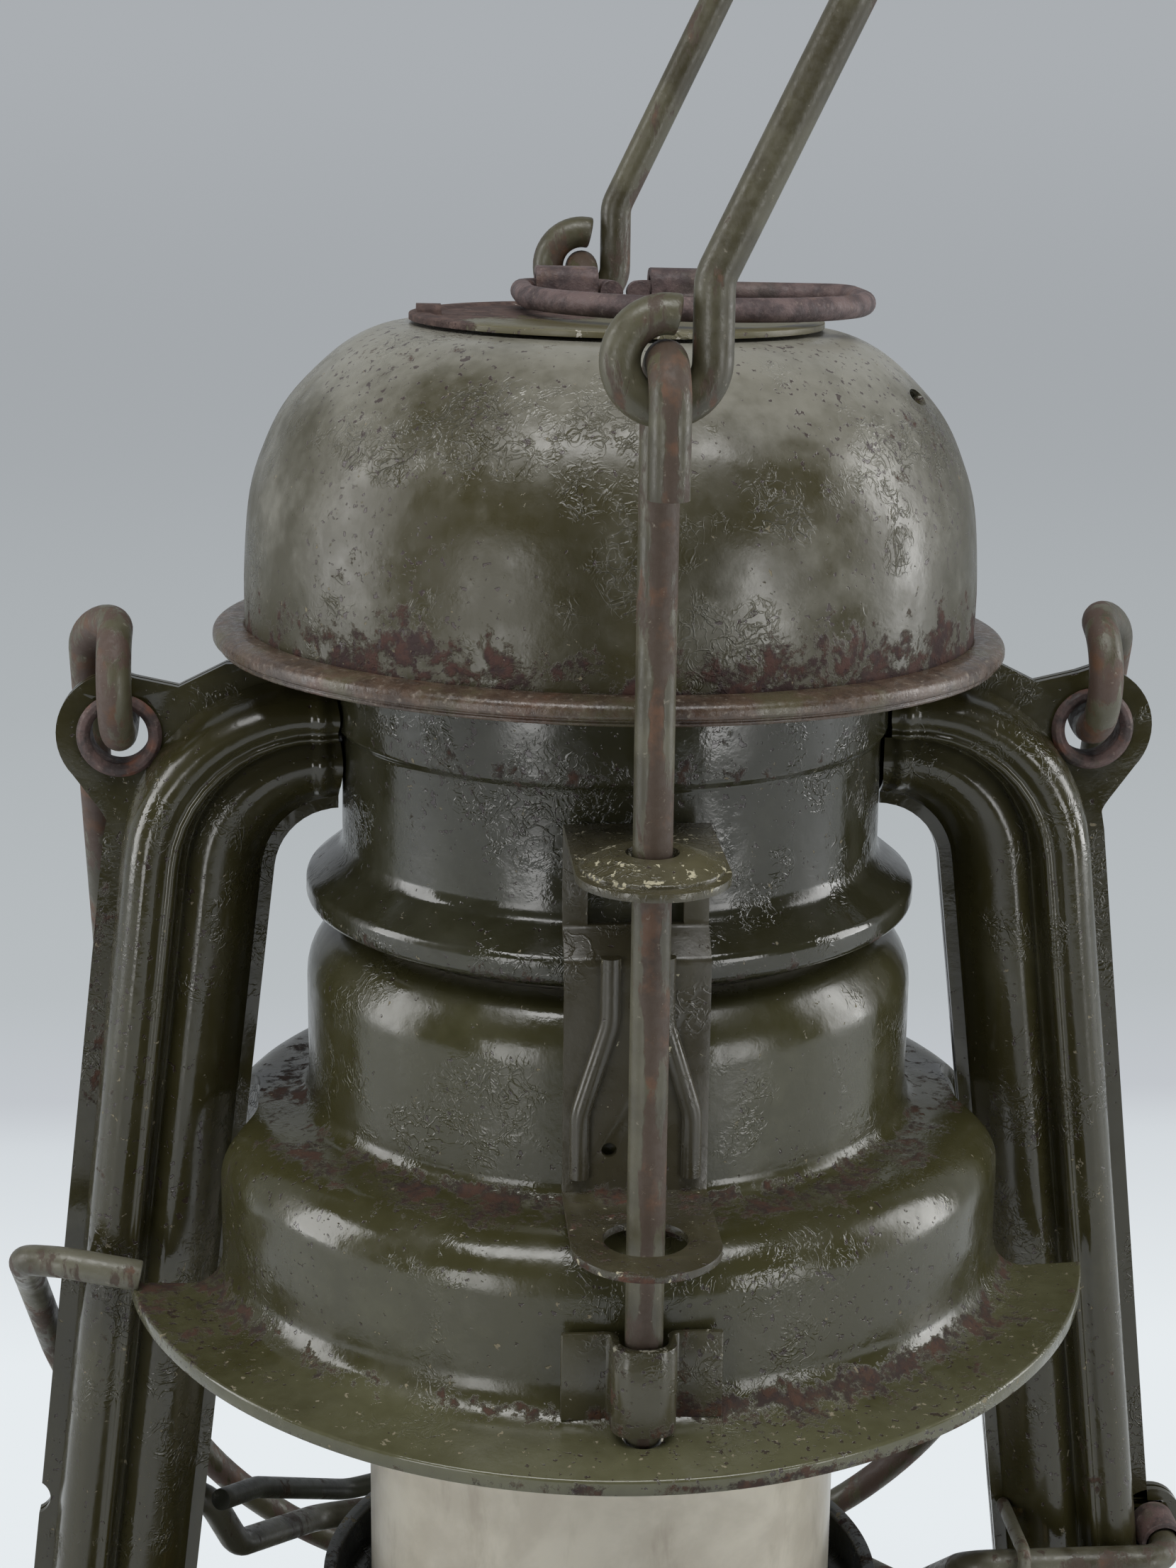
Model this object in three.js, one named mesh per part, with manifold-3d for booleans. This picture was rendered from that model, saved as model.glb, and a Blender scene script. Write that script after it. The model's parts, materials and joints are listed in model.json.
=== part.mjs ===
// A small cold-blast storm lantern with a stepped blackout hood that slides over its globe.
// Millimetres, +Z up, front towards -Y. The origin is on the floor, under the lantern's axis.
import * as THREE from 'three';
import { mergeVertices } from 'three/addons/utils/BufferGeometryUtils.js';
import Module from 'manifold-3d';

// Stock and running clearances
const sheet = 0.6;
const seat_gap = 0.3;
const overrun = 4;

// Fuel tank
const tank_radius = 49;
const tank_height = 33;
const tank_shoulder = 5;
const foot_ring_width = 4.2;
const foot_recess = 1.6;
const seam_height = 3.4;
const collar_radius = 14;
const collar_height = 4;
const bend = 0.9;

// Filler
const filler_bore = 5;
const filler_height = 4.4;
const filler_cap_radius = 7.2;
const filler_cap_height = 4.8;
const filler_place_radius = 38.2;
const filler_place_angle = THREE.MathUtils.degToRad(240);
const grip_depth = 0.5;
const grip_count = 12;

// Air chamber over the tank
const chamber_radius = 28;
const chamber_height = 12.4;
const chamber_hole = 16.5;

// Burner, turned towards the front right
const burner_turn = THREE.MathUtils.degToRad(-60);
const burner_rim_height = 11.2;
const wick_width = 11.8;
const wick_thickness = 1.8;
const wick_length = 48;
const wick_top = 56.8;
const wick_tube_foot = 22;
const wick_tube_top = 55;
const cone_height = 13.4;
const cone_slot_length = 13;
const cone_slot_width = 4.2;
const shaft_radius = 0.9;
const shaft_lift = 7.6;
const sprocket_radius = 2.6;
const sprocket_length = 3.2;
const sprocket_teeth = 10;
const knob_radius = 6;
const knob_thickness = 2.2;
const knob_reach = 36;
const knob_grips = 12;

// Side tubes, pressed in halves and folded together along their flanges
const tube_width = 14.3;
const tube_depth = 6.3;
const tube_flange_share = 0.13;
const tube_throat_share = 0.88;
const tube_splay = THREE.MathUtils.degToRad(7);
const tube_mid_x = 36.8;
const tube_mid_z = 118;
const tube_top_z = 141.2;
const tube_foot_z = 40.4;
const shoulder_bend = 8.2;
const foot_bend = 12.5;
// Outer lobe, crease and lower inner lobe of a pressed half, as shares of its width and depth
const tube_section_shares = [
  [0, 0], [0.13, 0], [0.15, 0.4], [0.2, 0.78], [0.29, 0.98], [0.4, 0.98], [0.49, 0.82],
  [0.525, 0.56], [0.64, 0.66], [0.74, 0.58], [0.83, 0.38], [0.9, 0], [1, 0],
];

// Ears that carry the bail, with folded eyelets
const ear_x = 41.3;
const ear_z = 141.3;
const ear_radius = 5.2;
const eyelet_bore = 2.35;
const eyelet_wall = 0.5;
const eyelet_radius = 3.5;

// Throat under the canopy
const throat_radius = 22.5;
const throat_step = 0.6;
const throat_step_z = 141.9;
const throat_top_z = 160;
const throat_flare = 25.6;
const throat_flare_z = 131.8;
const throat_foot_z = 127.5;
const throat_mouth = 16.6;

// Canopy, its inner sleeve, return spring and lift ring
const canopy_radius = 29.9;
const canopy_brim_radius = 32.4;
const canopy_brim_z = 149.1;
const canopy_bead = 1.1;
const canopy_top_z = 174.4;
const canopy_slot_z = 170;
const canopy_slot_angle = THREE.MathUtils.degToRad(-22);
const canopy_slot_length = 1.7;
const canopy_slot_width = 0.6;
const plate_radius = 16.7;
const lug_size = 2.6;
const sleeve_radius = 15.6;
const sleeve_flange = 19.6;
const sleeve_foot_z = 141.8;
const sleeve_vents = 6;
const sleeve_vent_radius = 2.6;
const sleeve_vent_rise = 7.8;
const spring_wire = 0.55;
const spring_turns = 5;
const ring_wire = 0.95;
const ring_radius = 13.8;
const ring_offset = 6.6;
const ring_hinge_y = 10.6;
const ring_depth = 21.3;
const ring_corner = 2;
const ring_end_length = 2.2;
const ring_end_space = 2.2;
const strap_width = 5.2;
const strap_left_x = -3.4;
const strap_right_x = 6.2;
const strap_sheet = 0.7;
const strap_foot = 1.8;

// Blackout hood, the clips on it and the two rods that carry it
const hood_neck_radius = 21.6;
const hood_top_z = 125.6;
const hood_tier_radius = 25.6;
const hood_tier_shoulder = 3.9;
const hood_step_z = 109;
const hood_skirt_radius = 33.7;
const hood_skirt_shoulder = 6;
const hood_skirt_z = 95.6;
const hood_brim_radius = 41.3;
const hood_brim_z = 93.3;
const hood_notch_half_width = 7.9;
const hood_notch_x = 29.9;
const rod_wire = 1.45;
const rod_place = 35.5;
const rod_foot_z = 93.6;
const hook_reach = 6.4;
const hook_leg = 8.9;
const hook_top_z = 176.3;
const clip_width = 12.3;
const clip_foot_z = 96.2;
const clip_top_z = 104.2;
const clip_channel = 1.85;
const rod_slot = 2.6;

// Guides with ring tabs that the rods run through
const guide_width = 11.2;
const guide_foot_z = 110.5;
const guide_window_z = 131.9;
const guide_window_height = 7;
const guide_rail = 1.9;
const guide_top_z = 146;
const guide_tab_z = 139.5;
const guide_reach = 42;
const guide_joggle = 3.4;
const guide_rib = 0.55;
const upper_hole_radius = 1.95;
const lower_hole_radius = 3.2;
const tab_boss_radius = 5.3;
const tab_boss_height = 1.2;

// Bail of the hood
const hood_bail_wire = 1.42;
const hood_bail_eye = 3.15;
const hood_bail_height = 78;
const hood_bail_lean = THREE.MathUtils.degToRad(25.7);
const hood_bail_stub = 5.5;
const hood_bail_eye_start = THREE.MathUtils.degToRad(75);
const hood_bail_kink = 4;

// Carrying bail in the ears
const bail_wire = 1.42;
const bail_eye = 4.6;
const bail_rest_angle = THREE.MathUtils.degToRad(50.4);
const bail_half_width = 43.6;
const bail_eye_x = 41.7;
const bail_eye_start = THREE.MathUtils.degToRad(-50);
const bail_eye_shift = THREE.MathUtils.degToRad(-250);

// Globe and the cup that lifts it
const globe_radius = 20.6;
const globe_wall = 1.6;
const globe_foot_z = 59.1;
const cup_radius = 24.3;
const cup_rim_z = 63.5;
const cup_hole = 15.2;
const lift_tab_width = 6;
const lift_tab_reach = 33.4;

// Globe lever
const lever_wire = 1.3;
const lever_pivot_x = 50.4;
const lever_lug_radius = 2.9;
const lever_sleeve_radius = 1.95;
const keeper_wire = 0.6;
const lever_pivot_z = 66.8;
const lever_hook_z = 96.4;
const lever_hook_tip_x = 41;
const lever_side_y = 8;
const lever_lift_y = 31.8;
const lever_lift_z = 53.4;
const notch_radius = 1.7;
const notch_z = 72;

// Guard wires round the globe
const guard_wire = 1;
const guard_z = 60.6;

// How finely round shapes are divided
const turn_steps = 28;
const small_steps = 14;
const wire_sides = 8;
const hidden_steps = 20;
const full_radius = 2.4;
const arc_step = THREE.MathUtils.degToRad(32);
const quarter = Math.PI / 2;

const wasm = await Module();
wasm.setup();

const olive = { color: 0x4b4a35, roughness: 0.42, metalness: 0.3 };
const rust = { color: 0x5f5049, roughness: 0.8, metalness: 0.35 };
const wornWire = { color: 0x5b554b, roughness: 0.6, metalness: 0.5 };
const brass = { color: 0x8d7a4a, roughness: 0.5, metalness: 0.8 };
const steel = { color: 0x777773, roughness: 0.5, metalness: 0.8 };
const glass = { color: 0xd8d5c6, roughness: 0.35, metalness: 0 };
const cotton = { color: 0xd9d2bd, roughness: 1, metalness: 0 };
const cork = { color: 0x2f2b27, roughness: 0.9, metalness: 0 };

const lantern = new THREE.Group();

// Adds one named piece to the lantern
function piece(name, geometry, finish, home = lantern) {
  const mesh = new THREE.Mesh(geometry, new THREE.MeshStandardMaterial(finish));
  mesh.name = name;
  home.add(mesh);
  return mesh;
}

// A closed mesh as a solid that can be joined and cut
function solid(geometry) {
  const bare = new THREE.BufferGeometry();
  const flat = geometry.index ? geometry.toNonIndexed() : geometry;
  bare.setAttribute('position', flat.getAttribute('position').clone());
  const merged = mergeVertices(bare, 1e-4);
  const made = new wasm.Manifold(new wasm.Mesh({
    numProp: 3,
    vertProperties: merged.attributes.position.array,
    triVerts: new Uint32Array(merged.index.array),
  }));
  return made;
}

// A solid back as a mesh's geometry
function geometryOf(made) {
  const mesh = made.getMesh();
  const points = new Float32Array(mesh.numVert * 3);
  for (let i = 0; i < mesh.numVert; i += 1) {
    for (let axis = 0; axis < 3; axis += 1) points[i * 3 + axis] = mesh.vertProperties[i * mesh.numProp + axis];
  }
  const geometry = new THREE.BufferGeometry();
  geometry.setAttribute('position', new THREE.BufferAttribute(points, 3));
  geometry.setIndex(new THREE.BufferAttribute(new Uint32Array(mesh.triVerts), 1));
  return geometry;
}

const join = (...parts) => geometryOf(parts.map(solid).reduce((whole, part) => whole.add(part)));
const cut = (body, ...tools) => geometryOf(tools.map(solid).reduce((left, tool) => left.subtract(tool), solid(body)));

// Points of a line whose corners are rounded; a corner is [x, y, z, radius]
function rounded(corners) {
  const at = (corner) => new THREE.Vector3(corner[0], corner[1], corner[2]);
  const points = [];
  const add = (point) => {
    if (!points.length || points[points.length - 1].distanceTo(point) > 1e-3) points.push(point);
  };
  corners.forEach((corner, i) => {
    const here = at(corner);
    const radius = corner[3] || 0;
    if (!radius || i === 0 || i === corners.length - 1) {
      add(here);
      return;
    }
    const back = at(corners[i - 1]).sub(here).normalize();
    const on = at(corners[i + 1]).sub(here).normalize();
    const half = Math.acos(THREE.MathUtils.clamp(back.dot(on), -1, 1)) / 2;
    const centre = back.clone().add(on).normalize().multiplyScalar(radius / Math.sin(half)).add(here);
    const start = back.multiplyScalar(radius / Math.tan(half)).add(here).sub(centre);
    const end = on.multiplyScalar(radius / Math.tan(half)).add(here).sub(centre);
    const sweep = Math.PI - 2 * half;
    const steps = Math.max(1, Math.round((sweep / arc_step) * Math.min(1, radius / full_radius)));
    for (let k = 0; k <= steps; k += 1) {
      const share = k / steps;
      const a = Math.sin((1 - share) * sweep) / Math.sin(sweep);
      const b = Math.sin(share * sweep) / Math.sin(sweep);
      add(start.clone().multiplyScalar(a).addScaledVector(end, b).add(centre));
    }
  });
  return points;
}

// Rounded line in the plane of a turned profile; a corner is [radius, height, rounding]
const profile = (corners) => rounded(corners.map(([r, z, round]) => [r, z, 0, round]))
  .map((point) => [point.x, point.y]);

// Outline of a sheet that lies to the left of a line of points
function thick(line, thickness = sheet) {
  const inner = line.map((point, i) => {
    const from = line[Math.max(0, i - 1)];
    const to = line[Math.min(line.length - 1, i + 1)];
    const before = [point[0] - from[0], point[1] - from[1]];
    const after = [to[0] - point[0], to[1] - point[1]];
    const sides = [before, after].filter((side) => Math.hypot(...side) > 0)
      .map((side) => [-side[1] / Math.hypot(...side), side[0] / Math.hypot(...side)]);
    const mean = [0, 1].map((k) => sides.reduce((sum, side) => sum + side[k], 0) / sides.length);
    const size = mean[0] * mean[0] + mean[1] * mean[1];
    return [point[0] + (mean[0] / size) * thickness, point[1] + (mean[1] / size) * thickness];
  });
  return [...line, ...inner.reverse()];
}

// A solid turned about the lantern's axis from a closed outline of [radius, height]
function turned(outline, steps = turn_steps) {
  const area = outline.reduce((sum, [r, z], i) => {
    const [nextR, nextZ] = outline[(i + 1) % outline.length];
    return sum + r * nextZ - nextR * z;
  }, 0);
  const points = (area > 0 ? [...outline] : [...outline].reverse())
    .map(([r, z]) => new THREE.Vector2(r < 1e-6 ? 0 : r, z));
  const start = points.findIndex((point, i) => point.x === 0 && points[(i + points.length - 1) % points.length].x === 0);
  if (start >= 0) points.push(...points.splice(0, start));
  else points.push(points[0].clone());
  return new THREE.LatheGeometry(points, steps).rotateX(quarter);
}

const disc = (radius, low, high, steps = small_steps) => turned([[0, low], [radius, low], [radius, high], [0, high]], steps);
const pipe = (bore, radius, low, high, steps = small_steps) => turned(
  [[bore, low], [radius, low], [radius, high], [bore, high]], steps);

// A block between two corners
function block(low, high) {
  const size = high.map((value, i) => value - low[i]);
  return new THREE.BoxGeometry(...size).translate(...low.map((value, i) => value + size[i] / 2));
}

// A flat plate: an outline of [x, y] points, with round holes, from one height to another
function plate(outline, low, high, holes = []) {
  const points = outline.map(([x, y]) => new THREE.Vector2(x, y));
  const shape = new THREE.Shape(THREE.ShapeUtils.isClockWise(points) ? points.reverse() : points);
  holes.forEach(([x, y, radius]) => {
    const hole = new THREE.Path();
    hole.absarc(x, y, radius, 0, 2 * Math.PI, true);
    shape.holes.push(hole);
  });
  return new THREE.ExtrudeGeometry(shape, { depth: high - low, bevelEnabled: false, curveSegments: 6 })
    .translate(0, 0, low);
}

// Stands a plate's sheet up: its x stays, its y becomes height and its thickness runs along Y
const upright = (geometry) => geometry.rotateX(quarter);
// Lays a section drawn as [y, z] along X, centred on the middle plane
function along(outline, width, middle = 0) {
  return plate(outline, middle - width / 2, middle + width / 2)
    .applyMatrix4(new THREE.Matrix4().set(0, 0, 1, 0, 1, 0, 0, 0, 0, 1, 0, 0, 0, 0, 0, 1));
}

// Points round part of a circle
function arc(x, y, radius, from, to, steps = 8) {
  return Array.from({ length: steps + 1 }, (_, k) => {
    const angle = from + ((to - from) * k) / steps;
    return [x + radius * Math.cos(angle), y + radius * Math.sin(angle)];
  });
}

// A route whose stations are the points given, so that wire bends where its corners are
class Route extends THREE.Curve {
  constructor(stations) {
    super();
    this.stations = stations;
  }

  getPoint(t, target = new THREE.Vector3()) {
    const place = t * (this.stations.length - 1);
    const i = Math.min(Math.floor(place), this.stations.length - 2);
    return target.copy(this.stations[i]).lerp(this.stations[i + 1], place - i);
  }

  getTangent(t, target = new THREE.Vector3()) {
    const i = Math.round(t * (this.stations.length - 1));
    const last = this.stations.length - 1;
    const here = this.stations[i];
    const before = i > 0 ? here.clone().sub(this.stations[i - 1]).normalize() : new THREE.Vector3();
    const after = i < last ? this.stations[i + 1].clone().sub(here).normalize() : new THREE.Vector3();
    return target.copy(before).add(after).normalize();
  }

  getPointAt(u, target) {
    return this.getPoint(u, target);
  }

  getTangentAt(u, target) {
    return this.getTangent(u, target);
  }
}

// Round wire along a list of corners, each with its bend radius
function wire(corners, radius, sides = wire_sides) {
  const stations = rounded(corners);
  const section = new THREE.Shape(arc(0, 0, radius, 0, 2 * Math.PI, sides).slice(0, sides)
    .map(([x, y]) => new THREE.Vector2(x, y)));
  return new THREE.ExtrudeGeometry(section, { steps: stations.length - 1, extrudePath: new Route(stations) });
}

// Skin over rings of points that all have the same count, closed by flat ends cut like the first ring's section
function loft(rings, section) {
  const count = section.length;
  const ends = THREE.ShapeUtils.triangulateShape(section.map(([u, v]) => new THREE.Vector2(u, v)), []);
  const points = rings.flat();
  const faces = [];
  for (let k = 0; k < rings.length - 1; k += 1) {
    for (let i = 0; i < count; i += 1) {
      const a = k * count + i;
      const b = k * count + ((i + 1) % count);
      faces.push(a, b, b + count, a, b + count, a + count);
    }
  }
  const last = (rings.length - 1) * count;
  const clockwise = THREE.ShapeUtils.isClockWise(section.map(([u, v]) => new THREE.Vector2(u, v)));
  ends.forEach(([a, p, q]) => {
    const [b, c] = clockwise ? [q, p] : [p, q];
    faces.push(a, c, b, last + a, last + b, last + c);
  });
  const volume = faces.reduce((sum, _, i) => {
    if (i % 3) return sum;
    const [p, q, r] = [points[faces[i]], points[faces[i + 1]], points[faces[i + 2]]];
    return sum + p.dot(q.clone().cross(r));
  }, 0);
  if (volume < 0) faces.reverse();
  const geometry = new THREE.BufferGeometry();
  geometry.setAttribute('position', new THREE.Float32BufferAttribute(points.flatMap((p) => [p.x, p.y, p.z]), 3));
  geometry.setIndex(faces);
  return geometry;
}

// Fuel tank: a drawn shell with a collar for the burner, closed by a seamed bottom
const seam_radius = tank_radius + seat_gap + sheet;
const tankLine = profile([
  [tank_radius, sheet + seat_gap], [tank_radius, tank_height, tank_shoulder],
  [collar_radius, tank_height, bend], [collar_radius, tank_height + collar_height],
]);
const fillerPlace = [
  filler_place_radius * Math.cos(filler_place_angle), filler_place_radius * Math.sin(filler_place_angle), 0,
];
piece('tank_shell', cut(
  turned(thick(tankLine)),
  disc(filler_bore, tank_height - overrun, tank_height + overrun).translate(...fillerPlace),
), olive);
piece('tank_bottom', turned(thick(profile([
  [0, foot_recess], [seam_radius - foot_ring_width - foot_recess, foot_recess, bend],
  [seam_radius - foot_ring_width, 0, bend], [seam_radius, 0, bend], [seam_radius, seam_height],
])), turn_steps), olive);

// Filler: neck with a flange, sealing ring and a grooved screw cap
const fillerFoot = tank_height + seat_gap;
const fillerFlange = filler_bore + 2 * sheet + bend;
const fillerNeck = filler_bore + sheet;
piece('filler_neck', turned([
  [filler_bore, fillerFoot], [fillerFlange, fillerFoot], [fillerFlange, fillerFoot + sheet],
  [fillerNeck, fillerFoot + sheet], [fillerNeck, fillerFoot + filler_height], [filler_bore, fillerFoot + filler_height],
], small_steps).translate(...fillerPlace), olive);
const gasketFoot = fillerFoot + filler_height + seat_gap / 2;
const gasketTop = gasketFoot + sheet;
piece('filler_gasket', pipe(filler_bore - bend, filler_cap_radius - sheet - bend, gasketFoot, gasketTop)
  .translate(...fillerPlace), cork);
const capTop = gasketTop + seat_gap / 2 + sheet;
const capGrooves = Array.from({ length: grip_count }, (_, k) => {
  const angle = (2 * Math.PI * k) / grip_count;
  return disc(grip_depth, capTop - filler_cap_height - overrun, capTop - bend, 6)
    .translate(filler_cap_radius * Math.cos(angle), filler_cap_radius * Math.sin(angle), 0);
});
piece('filler_cap', cut(turned(thick(profile([
  [filler_cap_radius, capTop - filler_cap_height], [filler_cap_radius, capTop, bend], [0, capTop],
]), sheet), 28), ...capGrooves).translate(...fillerPlace), olive);

// Air chamber: a drum over the middle of the tank that the side tubes blow into
const chamberFoot = tank_height + seat_gap;
const chamberTop = chamberFoot + chamber_height;
const chamberShell = turned(thick(profile([
  [chamber_radius, chamberFoot], [chamber_radius, chamberTop, 2 * bend],
  [chamber_hole, chamberTop, bend], [chamber_hole, chamberTop - 2 * bend],
])), hidden_steps);

// Middle line of the right side tube, from the throat to the air chamber
const splayAt = (z) => tube_mid_x + (tube_mid_z - z) * Math.tan(tube_splay);
const tubeStart = throat_radius - 2 * sheet;
const tubeEnd = chamber_radius - 2 * sheet;
const tubePath = rounded([
  [tubeStart, 0, tube_top_z], [splayAt(tube_top_z), 0, tube_top_z, shoulder_bend],
  [splayAt(tube_foot_z), 0, tube_foot_z, foot_bend], [tubeEnd, 0, tube_foot_z],
]);

// Rings of a section along the tube: side is 1 for the right tube, face is 1 for the front half
function alongTube(section, side, face) {
  return tubePath.map((point, i) => {
    const from = tubePath[Math.max(0, i - 1)];
    const to = tubePath[Math.min(tubePath.length - 1, i + 1)];
    const heading = to.clone().sub(from).normalize();
    const inward = new THREE.Vector3(-heading.z, 0, heading.x).negate();
    const narrow = point.z > tube_top_z - shoulder_bend
      ? THREE.MathUtils.lerp(1, tube_throat_share, (point.z - tube_top_z + shoulder_bend) / shoulder_bend) : 1;
    return section.map(([u, v]) => new THREE.Vector3(
      side * (point.x + inward.x * u * narrow), -face * v, point.z + inward.z * u * narrow));
  });
}
const halfPlane = seat_gap / 2;
const sectionLine = tube_section_shares.map(([u, v]) => [(u - 0.5) * tube_width, halfPlane + sheet + v * (tube_depth - sheet)]);
const wallSection = thick([...sectionLine].reverse(), sheet);
const flange = tube_flange_share * tube_width;
const coreSection = [
  [-tube_width / 2 + flange, -seat_gap], ...sectionLine.slice(2, -2).map(([u, v]) => [u * 0.9, v - 1.6 * sheet]),
  [tube_width / 2 - flange, -seat_gap],
];

// Ear outline on the right, in X and Z: round the hole, down to the flange and up to the brim
const shoulderTop = tube_top_z + (tube_width / 2) * tube_throat_share;
const earShares = [
  [-0.35, -0.94], [0.17, -1.5], [0.73, -0.69],
];
const earOutline = [
  ...earShares.map(([x, z]) => [ear_x + x * ear_radius, ear_z + z * ear_radius]),
  ...arc(ear_x, ear_z, ear_radius, -quarter / 2, quarter, 9),
  [ear_x - 0.9 * ear_radius, ear_z + 0.6 * ear_radius],
  [canopy_brim_radius - sheet, shoulderTop - seat_gap],
  [canopy_radius - 2 * sheet, shoulderTop - seat_gap],
  [canopy_radius, ear_z],
];

function tubeHalf(side, face) {
  const shell = loft(alongTube(wallSection, side, face), wallSection);
  const core = loft(alongTube(coreSection, side, face), coreSection);
  const bore = eyelet_bore + eyelet_wall + seat_gap;
  const ear = plate(earOutline.map(([x, z]) => [side * x, z]), halfPlane, halfPlane + sheet, [[side * ear_x, ear_z, bore]]);
  upright(ear);
  if (face < 0) ear.applyMatrix4(new THREE.Matrix4().makeScale(1, -1, 1));
  return { shell, core, ear };
}
// Turns a mirrored mesh's faces back out
function facedOut(geometry) {
  const loose = geometry.index ? geometry.toNonIndexed() : geometry;
  const p = loose.attributes.position;
  for (let i = 0; i < p.count; i += 3) {
    const a = [p.getX(i), p.getY(i), p.getZ(i)];
    p.setXYZ(i, p.getX(i + 1), p.getY(i + 1), p.getZ(i + 1));
    p.setXYZ(i + 1, ...a);
  }
  return loose;
}
const notchCut = disc(notch_radius, -overrun, overrun).rotateX(quarter)
  .translate(-(splayAt(notch_z) + tube_width / 2 + bend), 0, notch_z);
const pivotCut = disc(lever_wire + seat_gap, -overrun, overrun).rotateX(quarter)
  .translate(lever_pivot_x, 0, lever_pivot_z);
const lug = (face) => plate(arc(0, 0, lever_lug_radius, 0, 2 * Math.PI, 18).slice(0, 18), -halfPlane - sheet, -halfPlane)
  .rotateX(-face * quarter).translate(lever_pivot_x, 0, lever_pivot_z);
const eyeletBore = (side) => disc(eyelet_bore + eyelet_wall + seat_gap, -overrun, overrun).rotateX(quarter)
  .translate(side * ear_x, 0, ear_z);
const throatPlug = disc(throat_radius + throat_step + seat_gap, tube_foot_z, throat_top_z, turn_steps);
const chamberPlug = disc(chamber_radius + seat_gap, 0, chamberTop + overrun, turn_steps);
const cores = [];
[['left', -1], ['right', 1]].forEach(([sideName, side]) => {
  [['front', 1], ['back', -1]].forEach(([faceName, face]) => {
    const { shell, core, ear } = tubeHalf(side, face);
    cores.push(core);
    const plateEar = cut(face < 0 ? facedOut(ear) : ear, core);
    const body = side < 0 ? join(shell, plateEar) : join(shell, plateEar, cut(lug(face), core));
    const half = cut(body, eyeletBore(side), throatPlug, chamberPlug, side < 0 ? notchCut : pivotCut);
    piece(`${sideName}_tube_${faceName}`, half, olive);
  });
  const reach = halfPlane + sheet + seat_gap;
  piece(`${sideName}_ear_eyelet`, turned(profile([
    [eyelet_bore, -reach - eyelet_wall / 2], [eyelet_bore + eyelet_wall, -reach - eyelet_wall],
    [eyelet_radius, -reach - eyelet_wall / 2], [eyelet_radius, -reach], [eyelet_bore + eyelet_wall, -reach],
    [eyelet_bore + eyelet_wall, reach], [eyelet_radius, reach], [eyelet_radius, reach + eyelet_wall / 2],
    [eyelet_bore + eyelet_wall, reach + eyelet_wall], [eyelet_bore, reach + eyelet_wall / 2],
  ]), small_steps).rotateX(quarter).translate(side * ear_x, 0, ear_z), rust);
});

// Burner: base over the collar, flat wick tube, cone, wick and the wheel that moves it
const burner = new THREE.Group();
burner.rotation.z = burner_turn;
lantern.add(burner);
const baseRadius = collar_radius + seat_gap + sheet;
const baseTop = tank_height + burner_rim_height;
const shaftY = -(wick_thickness / 2 + seat_gap + sprocket_radius);
const shaftZ = tank_height + shaft_lift;
const stadium = (length, width) => [
  ...arc(length / 2 - width / 2, 0, width / 2, -quarter, quarter, 4),
  ...arc(-length / 2 + width / 2, 0, width / 2, quarter, 3 * quarter, 4),
];
// A round bar along X through the burner's shaft line
const shaftBar = (radius, from, to, steps = small_steps) => disc(radius, from, to, steps).rotateY(quarter)
  .translate(0, shaftY, shaftZ);
const tubeGap = wick_thickness + 2 * seat_gap;
const tubeThick = tubeGap + 2 * sheet;
const tubeLong = wick_width + 2 * seat_gap + 2 * sheet;
piece('burner_base', cut(
  turned(thick(profile([[baseRadius, tank_height + bend], [baseRadius, baseTop, bend], [0, baseTop]])), hidden_steps),
  plate(stadium(tubeLong + 2 * seat_gap, tubeThick + 2 * seat_gap), baseTop - overrun, baseTop + overrun),
  shaftBar(shaft_radius + seat_gap, 0, baseRadius + overrun),
), brass, burner);
piece('wick_tube', cut(
  plate(stadium(tubeLong, tubeThick), wick_tube_foot, wick_tube_top),
  plate(stadium(tubeLong - 2 * sheet, tubeGap), wick_tube_foot - overrun, wick_tube_top + overrun),
  block([-sprocket_length / 2 - 2 * seat_gap, -tubeThick, shaftZ - sprocket_radius - 2 * seat_gap],
    [sprocket_length / 2 + 2 * seat_gap, 0, shaftZ + sprocket_radius + 2 * seat_gap]),
), brass, burner);
const coneFoot = baseTop + seat_gap;
const coneTop = coneFoot + cone_height;
piece('burner_cone', cut(
  turned(thick(profile([
    [baseRadius - 2 * sheet, coneFoot], [baseRadius - 2 * sheet, coneFoot + cone_height * 0.27, 3 * bend],
    [baseRadius * 0.62, coneTop - sheet, 2 * bend], [0, coneTop],
  ])), hidden_steps),
  block([-cone_slot_length / 2, -cone_slot_width / 2, coneTop - overrun], [cone_slot_length / 2, cone_slot_width / 2, coneTop + overrun]),
), brass, burner);
piece('wick', plate(stadium(wick_width, wick_thickness), wick_top - wick_length, wick_top), cotton, burner);
piece('wick_shaft', shaftBar(shaft_radius, -baseRadius + 3 * sheet, knob_reach + knob_thickness + sheet), steel, burner);
const sprocketOutline = Array.from({ length: sprocket_teeth * 2 }, (_, k) => {
  const angle = (Math.PI * (k + 0.5)) / sprocket_teeth;
  const radius = k % 2 ? sprocket_radius - 2 * seat_gap : sprocket_radius;
  return [radius * Math.cos(angle), radius * Math.sin(angle)];
});
const onShaft = (geometry) => geometry.rotateY(quarter).translate(0, shaftY, shaftZ);
piece('wick_sprocket', onShaft(
  plate(sprocketOutline, -sprocket_length / 2, sprocket_length / 2, [[0, 0, shaft_radius + seat_gap]])), steel, burner);
const knobNotches = Array.from({ length: knob_grips }, (_, k) => {
  const angle = (2 * Math.PI * k) / knob_grips;
  return disc(grip_depth, knob_reach - overrun, knob_reach + overrun, 6)
    .translate(knob_radius * Math.cos(angle), knob_radius * Math.sin(angle), 0);
});
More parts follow.
